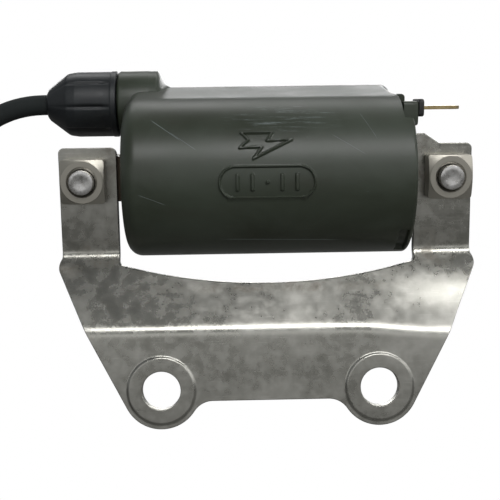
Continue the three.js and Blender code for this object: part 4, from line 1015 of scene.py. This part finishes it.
@dataclass
class Lead:
    """The high-tension lead, its two spare turns, and the tie that holds them."""

    diameter: float = 5.0
    sides: int = 24
    spacing: float = 1.6
    knots: Line = ((15.9, 0), (8, 0), (0, 0), (-4.5, -0.2), (-8.9, -1.1), (-13.1, -2.8), (-17, -5.3),
                   (-20.4, -8.5), (-23.2, -12.3), (-25.3, -16.6), (-26.6, -21.1), (-27.1, -25.9), (-27.1, -31.3))
    cap_left: float = -53.6
    coil_radius: float = 27.5
    coil_pitch: float = 5.2
    coil_turns: int = 2
    coil_z: float = 18.0
    tail_end: float = -26.0

    def line(self) -> Points:
        """The lead's middle line: a smooth curve through its knots, two turns, and a straight tail.

        Between knots it is a Catmull-Rom cubic. A turn is a circle in Y and Z that steps along -X.
        """
        knots = np.array([(self.cap_left + x, TOWER.y, TOWER.z + z) for x, z in self.knots], dtype=float)
        ends = np.vstack([2 * knots[0] - knots[1], knots, 2 * knots[-1] - knots[-2]])
        t = np.linspace(0, 1, 6, endpoint=False)[None, :, None]
        p0, p1, p2, p3 = (ends[i:len(ends) - 3 + i][:, None, :] for i in range(4))
        curve = 0.5 * (2 * p1 + (p2 - p0) * t + (2 * p0 - 5 * p1 + 4 * p2 - p3) * t ** 2
                       + (3 * p1 - p0 - 3 * p2 + p3) * t ** 3)
        start = knots[-1]
        down = np.linspace(start, [start[0], TOWER.y, self.coil_z], 14, endpoint=False)
        turn = np.linspace(0, TAU * self.coil_turns, 96 * self.coil_turns, endpoint=False)
        coil = np.column_stack([start[0] - self.coil_pitch * turn / TAU,
                                TOWER.y - self.coil_radius * (1 - np.cos(turn)),
                                self.coil_z - self.coil_radius * np.sin(turn)])
        foot = start[0] - self.coil_pitch * self.coil_turns
        tail = np.linspace([foot, TOWER.y, self.coil_z], [foot, TOWER.y, self.tail_end], 30)
        return self.even(np.vstack([curve.reshape(-1, 3), down, coil, tail]))

    def even(self, line: Points) -> Points:
        """The same line at even spacing along its length."""
        step = np.linalg.norm(np.diff(line, axis=0), axis=1)
        keep = np.concatenate([[True], step > 1e-6])
        line = line[keep]
        far = np.concatenate([[0], np.cumsum(np.linalg.norm(np.diff(line, axis=0), axis=1))])
        at = np.linspace(0, far[-1], int(far[-1] / self.spacing) + 1)
        return np.column_stack([np.interp(at, far, line[:, k]) for k in range(3)])

    def build(self, with_pieces: Sequence[bpy.types.Object | str]) -> None:
        line = self.line()
        tube = swept(line, self.diameter / 2, self.sides)
        count, rows = self.sides, len(line)
        shell = Shell().add(tube, lattice_faces(rows, count, False, True).tolist()
                            + [list(range(count))[::-1], list(range((rows - 1) * count, rows * count))])
        lead = piece("ignition_lead", shell, Finishes.JACKET, replaces=["ht_lead", "lead_coil", "lead_tail"],
                     sharp=60)
        tie = self.tie()

    def tie(self) -> bpy.types.Object:
        """A flat band round the strands, with its lock block and cut end."""
        first = self.cap_left + self.knots[-1][0]
        last = first - self.coil_pitch * self.coil_turns
        gap = self.diameter / 2 + 0.35
        low, high = (last - gap, TOWER.y - gap), (first + gap, TOWER.y + gap)
        inner = rounded([(low[0], low[1], 2.4), (high[0], low[1], 2.4), (high[0], high[1], 2.4),
                         (low[0], high[1], 2.4)], steps=8, closed=True)
        middle = inner.mean(axis=0)
        outward = inner - middle
        outward /= np.linalg.norm(outward, axis=1)[:, None]
        rows = []
        for grow, z in ((0.0, -1.9), (0.9, -1.9), (1.05, -1.7), (1.05, 1.7), (0.9, 1.9), (0.0, 1.9)):
            flat = inner + outward * grow
            rows.append(np.column_stack([flat, np.full(len(flat), self.coil_z + z)]))
        shell = Shell().lattice(np.array(rows))
        mid = (first + last) / 2
        shell.box((mid - 2.2, low[1] - 2.6, self.coil_z - 2.4), (mid + 2.2, low[1] - 0.6, self.coil_z + 2.4))
        shell.box((mid - 1.8, low[1] - 5.4, self.coil_z + 0.2), (mid + 1.8, low[1] - 2.4, self.coil_z + 1.1))
        return piece("lead_tie_band", shell, Finishes.NYLON, replaces=["lead_tie"], bevel=0.15)


def swept(line: Points, radius: float | Points, sides: int) -> Points:
    """Carries a circle along a line without twist.

    At each point the frame is the last one less its part along the new direction, made square again.

    Args:
        line: the points it follows.
        radius: one radius, or one for each point.
        sides: how many points go round.

    Returns:
        A grid of line points by sides.
    """
    ahead = np.gradient(line, axis=0)
    ahead /= np.linalg.norm(ahead, axis=1)[:, None]
    across = np.zeros_like(line)
    side = np.cross(ahead[0], [0.0, 1.0, 0.1])
    for i, way in enumerate(ahead):
        side = side - way * (side @ way)
        side = side / np.linalg.norm(side)
        across[i] = side
    other = np.cross(ahead, across)
    angle = np.linspace(0, TAU, sides, endpoint=False)[None, :, None]
    reach = np.broadcast_to(np.asarray(radius, dtype=float).reshape(-1, 1, 1), (len(line), 1, 1))
    return line[:, None, :] + reach * (across[:, None, :] * np.cos(angle) + other[:, None, :] * np.sin(angle))


@dataclass
class PlugCap:
    """The elbow cap on the lead's end: a hard body with a rubber boot at each opening.

    Each profile's rows are [distance along its axis, radius, corner]. Barrel and mouth go round Y, and
    stem and neck round Z.
    """

    barrel: Corners = (
        (9.0, 0, 0), (9.0, 8.0, 2.2), (-12.0, 8.0, 0.4), (-12.0, 7.5, 0.2), (-13.2, 7.5, 0.2), (-13.2, 8.0, 0.3),
        (-35.0, 8.0, 0.6), (-35.0, 5.4, 0.6), (-13.0, 5.4, 0.8), (-13.0, 0, 0))
    stem: Corners = (
        (-3.0, 0, 0), (-3.0, 6.2, 0), (14.0, 6.2, 0.3), (14.6, 5.8, 0.3), (16.4, 5.8, 0.3), (17.0, 6.2, 0.3),
        (30.0, 6.2, 0.5), (30.0, 2.85, 0.3), (15.0, 2.85, 0), (15.0, 0, 0))
    mouth: Corners = (
        (-38.0, 5.6, 0.4), (-38.0, 9.2, 0.9), (-37.0, 10.35, 0.5), (-34.2, 10.35, 0.4), (-33.6, 9.7, 0.3),
        (-31.8, 9.7, 0.3), (-31.2, 10.35, 0.4), (-28.4, 10.35, 0.4), (-27.8, 9.7, 0.3), (-26.0, 9.7, 0.3),
        (-25.4, 10.35, 0.4), (-21.0, 10.35, 0.8), (-21.0, 8.15, 0.2), (-35.15, 8.15, 0.2), (-35.15, 5.6, 0.4))
    neck: Corners = (
        (23.0, 6.35, 0.2), (23.0, 7.95, 0.5), (28.6, 7.95, 0.5), (31.0, 7.7, 1.2), (33.2, 6.0, 0.8),
        (35.0, 5.0, 0.5), (35.5, 4.45, 0.3), (37.0, 4.45, 0.4), (37.0, 2.85, 0.2), (30.15, 2.85, 0.2),
        (30.15, 6.35, 0.2))

    def build(self) -> list[bpy.types.Object]:
        """Turns the body and both boots.

        Returns:
            The pieces that go with the lead.
        """
        body = Shell().lattice(PLUG.put(turned(rounded(self.barrel), Axis.Y, 72)), loop_rows=False)
        body.lattice(PLUG.put(turned(rounded(self.stem), Axis.Z, 64)), loop_rows=False)
        mouth = Shell().lattice(PLUG.put(turned(rounded(self.mouth, closed=True), Axis.Y, 72)))
        neck = Shell().lattice(PLUG.put(turned(rounded(self.neck, closed=True), Axis.Z, 64)))
        return [
            piece("plug_cap_elbow", body, Finishes.PHENOLIC, replaces=["plug_cap_body"],
                  sharp=40),
            piece("plug_cap_mouth_boot", mouth, Finishes.RUBBER, replaces=["plug_cap_boot"]),
            piece("plug_cap_neck_boot", neck, Finishes.RUBBER, replaces=["plug_cap_lead_boot"]),
        ]


# ------------------------------------------------------------------ bracket
@dataclass
class Bracket:
    """The pressed bracket: two leaning ears, a sloping web with an arched cut-out, and a foot with two holes."""

    plate: float = 2.0
    bend_radius: float = 3.0
    bend_drops: tuple[float, float] = (18.6, 35.6)
    ear_face: float = -7.6
    hole: tuple[float, float] = (24.6, 4.3)
    lobe: float = 8.8
    lobe_fillet: float = 5.0
    pad: float = 7.6
    pad_height: float = 0.4
    flat_edge: float = 2.6
    flank: float = 27.5
    shoulder: tuple[float, float] = (27.8, 2.0)
    ear: tuple[float, float] = (34.6, 48.0)
    ear_top: float = 6.4
    corner: float = 1.3
    arc_radius: float = 134.0
    arc_floor: float = 23.5
    tab: tuple[float, float] = (3.4, 2.3)
    bow: float = 1.5
    bolt: tuple[float, float] = (42.0, 3.3)
    step: float = 1.3

    def build(self) -> None:
        """Builds the pressed sheet and dresses it."""
        sheet = Shell()
        self.sheet(sheet)
        piece("bracket_pressed", sheet, Finishes.BRACKET, replaces=["bracket"], sharp=38,
              weld=0.001, bevel=0.22)

    def half_outline(self, tab: bool) -> Points:
        """The blank's right half, from the foot's middle up round the ear to the middle of the cut-out."""
        def arc(x: float, z: float, radius: float, start: float, end: float, count: int) -> Points:
            angle = np.linspace(start, end, count + 1)
            return np.column_stack([x + radius * np.cos(angle), z + radius * np.sin(angle)])

        hole, lobe, flank = self.hole[0], self.lobe, math.radians(self.flank)
        drop = self.flat_edge + self.lobe_fillet
        fillet_x = hole - math.sqrt((lobe + self.lobe_fillet) ** 2 - drop ** 2)
        meet = math.atan2(-drop, fillet_x - hole)
        side_x, side_z = hole + lobe * math.cos(flank), -lobe * math.sin(flank)
        wide, rise = self.shoulder
        shoulder_x = side_x + math.tan(flank) * (wide - side_z)
        top = COIL.z + self.ear_top
        inner, outer = self.ear
        if tab:
            reach, high = self.tab
            crown = [(outer, top, self.corner), (inner + reach + high, top, 1.0),
                     (inner + reach - high / 2, top + high, 0.8), (inner, top + high, 0.8)]
        else:
            crown = [(outer, top, self.corner), (inner, top, self.corner)]
        turn = math.asin(inner / self.arc_radius)
        foot_in = self.arc_floor + self.arc_radius * (1 - math.cos(turn))
        side = rounded([(side_x, side_z, 0), (shoulder_x, wide, 3.0), (outer, wide + rise, 1.5), *crown,
                        (inner, foot_in, 1.2), (inner - 6, foot_in - 6 * math.tan(turn) * 0.92, 0)], steps=6)
        sweep = np.linspace(turn * 0.82, 0, 40)
        cut = np.column_stack([self.arc_radius * np.sin(sweep),
                               self.arc_floor + self.arc_radius * (1 - np.cos(sweep))])
        return np.vstack([[(0.0, -self.flat_edge)], arc(fillet_x, -drop, self.lobe_fillet, math.pi / 2, meet + math.pi, 10),
                          arc(hole, 0, lobe, meet, -flank, 40), side[1:-1], cut])

    def outline(self) -> Points:
        """The whole blank's outline, with sides no longer than the grid's step."""
        right = self.half_outline(True)
        left = self.half_outline(False)[1:-1][::-1] * [-1, 1]
        corners = np.vstack([right, left])
        out = []
        for a, b in zip(corners, np.roll(corners, -1, axis=0)):
            count = max(int(math.ceil(np.linalg.norm(b - a) / self.step)), 1)
            out.append(a + (b - a) * np.linspace(0, 1, count, endpoint=False)[:, None])
        return np.vstack(out)

    def side_lines(self) -> tuple[Points, Points]:
        """The sheet's front and back, seen from the side, as Y at each Z.

        The middle line has an arc at each bend; each face is that line moved half the sheet's thickness
        square to it.
        """
        lean = math.radians(LEANING.lean)
        y = self.ear_face + self.plate / 2

        def on_ear(z: float) -> tuple[float, float]:
            return (COIL.y + y * math.cos(lean) - z * math.sin(lean), COIL.z + y * math.sin(lean) + z * math.cos(lean))

        low, high = self.bend_drops
        level = (-low - y * math.sin(lean)) / math.cos(lean)
        corners = [(-self.plate / 2, -20.0, 0), (-self.plate / 2, COIL.z - high, self.bend_radius),
                   (*on_ear(level), self.bend_radius), (*on_ear(25.0), 0)]
        middle = rounded(corners, steps=10)
        dense = np.vstack([a + (b - a) * np.linspace(0, 1, 12, endpoint=False)[:, None]
                           for a, b in zip(middle, middle[1:])] + [middle[-1:]])
        way = np.gradient(dense, axis=0)
        way /= np.linalg.norm(way, axis=1)[:, None]
        square = np.column_stack([-way[:, 1], way[:, 0]]) * self.plate / 2
        return dense + square, dense - square

    def sheet(self, shell: Shell) -> None:
        """The bent sheet: a flat net of triangles over the blank, put on both faces and joined at the rim."""
        outline = self.outline()
        rings, keep_out = [], []
        hole_x, hole_r = self.hole
        turn = np.linspace(0, TAU, 72, endpoint=False)
        circle = np.column_stack([np.cos(turn), np.sin(turn)])
        extra = []
        for x in (-hole_x, hole_x):
            rings.append(circle * hole_r + [x, 0])
            for radius in (4.75, 5.4, 6.2, 6.9, self.pad - 0.22, self.pad, self.pad + 0.22, self.pad + 0.6):
                extra.append(circle * radius + [x, 0])
            keep_out.append((x, 0.0, self.pad + 0.9))
        lean = math.radians(LEANING.lean)
        bolt_z = COIL.z + (self.ear_face + self.plate / 2) * math.sin(lean)
        for x in (-self.bolt[0], self.bolt[0]):
            rings.append(circle[::2] * self.bolt[1] + [x, bolt_z])
            keep_out.append((x, bolt_z, self.bolt[1] + 0.6))
        levels = self.levels()
        gx, gz = np.meshgrid(np.arange(-50, 50.1, self.step), levels)
        gx = gx + (np.arange(len(levels)) % 2)[:, None] * self.step / 2
        net = np.column_stack([gx.ravel(), gz.ravel()])
        net = net[inside(net, outline)]
        near = line_distance(net[:, 0], net[:, 1], [tuple(p) for p in outline], closed=True)
        net = net[near > 0.45]
        for x, z, reach in keep_out:
            net = net[np.hypot(net[:, 0] - x, net[:, 1] - z) > reach]
        extra_points = np.vstack(extra)
        edge = line_distance(extra_points[:, 0], extra_points[:, 1], [tuple(p) for p in outline], closed=True)
        extra_points = extra_points[edge > 0.25]
        flat = np.vstack([outline, *rings, extra_points, net])
        edges, start = [], 0
        for ring in [outline, *rings]:
            count = len(ring)
            edges += [(start + i, start + (i + 1) % count) for i in range(count)]
            start += count
        found = delaunay_2d_cdt([Vector(p) for p in flat], edges, [], 0, 1e-5)
        points = np.array([tuple(p) for p in found[0]])
        faces = np.array(found[2])
        centres = points[faces].mean(axis=1)
        keep = inside(centres, outline)
        for ring in rings:
            keep &= ~inside(centres, ring)
        self.thicken(shell, points, faces[keep])

    def levels(self) -> np.ndarray:
        """Heights of the net's rows, closer together over the two bends."""
        low, high = COIL.z - self.bend_drops[1], COIL.z - self.bend_drops[0]
        return stations((-9.0, low - 3, self.step), (low - 3, low + 3, 0.45), (low + 3, high - 3.4, self.step),
                        (high - 3.4, high + 2.6, 0.45), (high + 2.6, 59.0, self.step))

    def thicken(self, shell: Shell, points: Points, faces: np.ndarray) -> None:
        """Puts the net on the front and the back face, and joins the two along every free edge."""
        front, back = self.side_lines()
        x, z = points[:, 0], points[:, 1]
        sunk = smooth_step(18.0, 40.0, x) * smooth_step(3.0, 9.0, z) * (1 - smooth_step(16.0, 27.0, z))
        level = z + self.bow * sunk
        front_y = np.interp(level, front[:, 1], front[:, 0])
        back_y = np.interp(level, back[:, 1], back[:, 0])
        first = points[faces]
        area = np.cross(first[:, 1] - first[:, 0], first[:, 2] - first[:, 0])
        faces = np.where((area > 0)[:, None], faces, faces[:, ::-1])
        swell = self.pressing(x, z)
        for at in (-self.hole[0], self.hole[0]):
            far = np.hypot(x - at, z)
            front_y = front_y - self.pad_height * (1 - smooth_step(self.pad - 0.25, self.pad + 0.25, far))
        front_y, back_y = front_y + swell, back_y + swell
        count = len(points)
        both = np.vstack([np.column_stack([x, front_y, z]), np.column_stack([x, back_y, z])])
        pairs = np.vstack([faces[:, [0, 1]], faces[:, [1, 2]], faces[:, [2, 0]]])
        key = np.sort(pairs, axis=1)
        _, where, times = np.unique(key, axis=0, return_index=True, return_counts=True)
        rim = pairs[where[times == 1]]
        sides = np.column_stack([rim[:, 1], rim[:, 0], rim[:, 0] + count, rim[:, 1] + count])
        shell.add(both, faces.tolist() + (faces[:, ::-1] + count).tolist() + sides.tolist())

    def pressing(self, x: Points, z: Points) -> Points:
        """Slow waves of a tenth of a millimetre, as a hand-worked sheet has."""
        wave = 0.07 * np.sin(x / 7.3 + 1.1 * np.sin(z / 9.1)) * np.sin(z / 6.1 + 0.6) * smooth_step(10.0, 16.0, z)
        return wave * (1 - smooth_step(38.0, 42.0, z))


# ------------------------------------------------------------------ fasteners and core
@dataclass
class Fasteners:
    """Each side's bolt with its square nut in front, and its washers behind the core."""

    bolts: tuple[tuple[str, float], ...] = (("left", -42.0), ("right", 42.0))
    nut: tuple[float, float] = (-12.9, -7.9)
    nut_half: float = 5.0
    nut_ring: float = 4.75
    sink: float = 3.4
    bore: float = 3.1
    tip: float = -14.3
    shank: float = 2.95
    pitch: float = 1.0
    head: tuple[float, float] = (8.9, 12.9)
    flat_washer: tuple[float, float, float] = (5.6, 6.8, 6.0)
    spring: tuple[float, float, float] = (7.1, 8.6, 5.1)

    def build(self) -> None:
        """Builds both sides' fasteners and dresses them."""
        for side, x in self.bolts:
            piece(f"core_bolt_{side}_threaded", self.bolt(x), Finishes.BOLT, replaces=[f"core_bolt_{side}"],
                  sharp=32)
            piece(f"square_nut_{side}_chamfered", self.square_nut(x), Finishes.NUT, replaces=[f"square_nut_{side}"],
                  sharp=28)
            piece(f"flat_washer_{side}_stamped", self.washer(x), Finishes.BOLT, replaces=[f"flat_washer_{side}"])
            piece(f"spring_washer_{side}_split", self.split_ring(x), Finishes.NUT,
                  replaces=[f"spring_washer_{side}"])

    def rings(self, x: float, along: Points, radius: Points, segments: int) -> Points:
        """A grid of rings round a bolt's leaning axis, from each row's distance and radius at each angle."""
        angle = np.linspace(0, TAU, segments, endpoint=False)[None, :]
        along = np.broadcast_to(along, (len(radius), segments))
        radius = np.broadcast_to(radius, (len(radius), segments))
        return LEANING.put(np.stack([x + radius * np.cos(angle), along, radius * np.sin(angle)], axis=-1))

    def square_nut(self, x: float) -> Shell:
        """A square nut whose front is turned off: past the ring its face falls by 0.5 mm a millimetre."""
        segments = 160
        angle = np.linspace(0, TAU, segments, endpoint=False)[None, :]
        side = polar_square(self.nut_half, 20.0)(angle)
        front, rear = self.nut
        one = np.ones_like(angle)
        share = np.linspace(0, 1, 7)[:, None]
        face_r = self.nut_ring + (side - self.nut_ring) * share
        face_y = front + 0.5 * (face_r - self.nut_ring)
        face_y[1:] += 0.03
        thread_y = np.linspace(rear - 0.4, front + 0.5, 30)[:, None]
        thread_r = self.bore + 0.12 * np.cos(TAU * thread_y / self.pitch - angle)
        radius = np.vstack([thread_r, (self.sink - 0.15) * one, self.sink * one, (self.sink + 0.12) * one,
                            (self.nut_ring - 0.1) * one, face_r, side * 0.998, side, side * 0.985, 3.5 * one])
        along = np.vstack([thread_y * one, (front + 0.3) * one, (front + 0.08) * one, front * one, front * one,
                           face_y, face_y[-1:] + 0.18, (rear - 0.3) * one, rear * one, rear * one])
        return Shell().lattice(self.rings(x, along, radius, segments))

    def bolt(self, x: float) -> Shell:
        """A threaded shank from its sawn tip to a hexagon head; the thread is a cosine that winds with the angle."""
        segments = 72
        angle = np.linspace(0, TAU, segments, endpoint=False)[None, :]
        one = np.ones_like(angle)
        thread_y = np.linspace(self.tip + 0.35, -9.0, 55)[:, None]
        fade = smooth_step(self.tip + 0.3, self.tip + 0.8, thread_y)
        thread_r = self.shank - 0.12 - 0.14 * fade * (1 + np.cos(TAU * thread_y / self.pitch - angle))
        back, crown = self.head
        hexagon = polar_hexagon(5.0)(angle)
        rows = [(self.tip + 0.12, 0.0 * one), (self.tip + 0.1, 0.9 * one), (self.tip, 1.6 * one), (self.tip, 2.55 * one),
                (self.tip + 0.05, 2.7 * one)]
        rows += [(y, r[None, :]) for y, r in zip(thread_y[:, 0], thread_r)]
        rows += [(-8.9, self.shank * one), (back, self.shank * one), (back, 0.93 * hexagon), (back + 0.15, hexagon),
                 (crown - 1.0, hexagon), (crown - 0.45, np.minimum(hexagon, 5.35)),
                 (crown - 0.1, np.minimum(hexagon, 4.85)), (crown, 4.6 * one), (crown, 3.4 * one),
                 (crown - 0.25, 3.1 * one), (crown - 0.25, 0 * one)]
        radius = np.vstack([r for _, r in rows])
        along = np.array([y for y, _ in rows])[:, None]
        return Shell().lattice(self.rings(x, along, radius, segments), loop_rows=False)

    def washer(self, x: float) -> Shell:
        """A flat washer: a rounded rectangle turned round the bolt."""
        low, high, reach = self.flat_washer
        loop = rounded([(low, 3.3, 0.1), (low, reach, 0.3), (high, reach, 0.15), (high, 3.3, 0.1)], closed=True)
        radius = loop[:, 1][:, None] * np.ones((1, 64))
        return Shell().lattice(self.rings(x, loop[:, 0][:, None], radius, 64))

    def split_ring(self, x: float) -> Shell:
        """A split ring: a rounded rectangle carried from one side of the gap round to the other."""
        low, high, reach = self.spring
        loop = rounded([(low, 3.3, 0.12), (low, reach, 0.12), (high, reach, 0.12), (high, 3.3, 0.12)],
                       steps=2, closed=True)
        gap = 0.09
        angle = np.linspace(math.pi / 2 + gap, math.pi / 2 + TAU - gap, 60)[:, None]
        radius = loop[:, 1][None, :]
        grid = np.stack([x + radius * np.cos(angle), loop[:, 0][None, :] + 0 * angle, radius * np.sin(angle)], axis=-1)
        count, rows = len(loop), len(angle)
        faces = lattice_faces(rows, count, False, True).tolist()
        faces += [list(range(count))[::-1], list(range((rows - 1) * count, rows * count))]
        return Shell().add(LEANING.put(grid), faces)


@dataclass
class Core:
    """The laminated core: each plate of the frame is shown as a stack of thin sheets."""

    plates: int = 4
    side: float = 10.6
    end: float = 47.7
    gap: float = 0.3
    sheets: int = 5
    seam: float = 0.05

    def build(self) -> None:
        """Builds each stack, with sheets that end a little unevenly, and dresses it."""
        thick = (self.side - (self.plates - 1) * self.gap) / self.plates
        sheet = (thick - (self.sheets - 1) * self.seam) / self.sheets
        uneven = np.random.default_rng(7).uniform(0.0, 0.22, (self.plates, self.sheets, 4))
        half = self.side / 2
        for plate in range(self.plates):
            shell = Shell()
            for number in range(self.sheets):
                low = -half + plate * (thick + self.gap) + number * (sheet + self.seam)
                a, b, c, d = uneven[plate, number]
                shell.box((-self.end + a, low, -half + c * 0.4), (self.end - b, low + sheet, half - d * 0.4), LEANING)
            piece(f"core_plate_{plate + 1}_laminations", shell, Finishes.CORE,
                  replaces=[f"core_plate_{plate + 1}"], weld=0.0005, bevel=0.06)


class Innards:
    """The frame's own inner solids, which stay as they are and take a finish."""

    FINISHES = {
        Finishes.BOARD: ("primary_bobbin", "secondary_bobbin"),
        Finishes.COPPER: ("primary_winding", "terminal_wire", *(f"secondary_winding_{i}" for i in range(1, 7))),
        Finishes.BLADE: ("earth_tongue", "secondary_link", "tower_spike", "cap_washer", "plug_cap_contact",
                         "plug_cap_spike"),
        Finishes.RESIN: ("potting_resin",),
        Finishes.RUBBER: ("lead_seal",),
        Finishes.CERAMIC: ("plug_cap_resistor",),
    }

    @classmethod
    def build(cls, nodes: dict[str, bpy.types.Object]) -> None:
        """Dresses each inner solid of the frame."""
        for finish, names in cls.FINISHES.items():
            for name in names:
                finish.dress(nodes[name])
                log.info("%s: the frame's own solid in %s", name, finish.value.name)


def main() -> None:
    """Loads the frame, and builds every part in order."""
    logging.basicConfig(level=logging.INFO, format="%(message)s")
    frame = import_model()
    Studio().build()
    plug = PlugCap().build()
    Lead().build([*plug, "plug_cap_contact", "plug_cap_resistor", "plug_cap_spike"])
    Housing().build()
    Terminal().build()
    ScrewCap().build()
    Bracket().build()
    Fasteners().build()
    Core().build()
    Innards.build(frame["nodes"])
    log.info("sizes written")


if __name__ == "__main__":
    main()
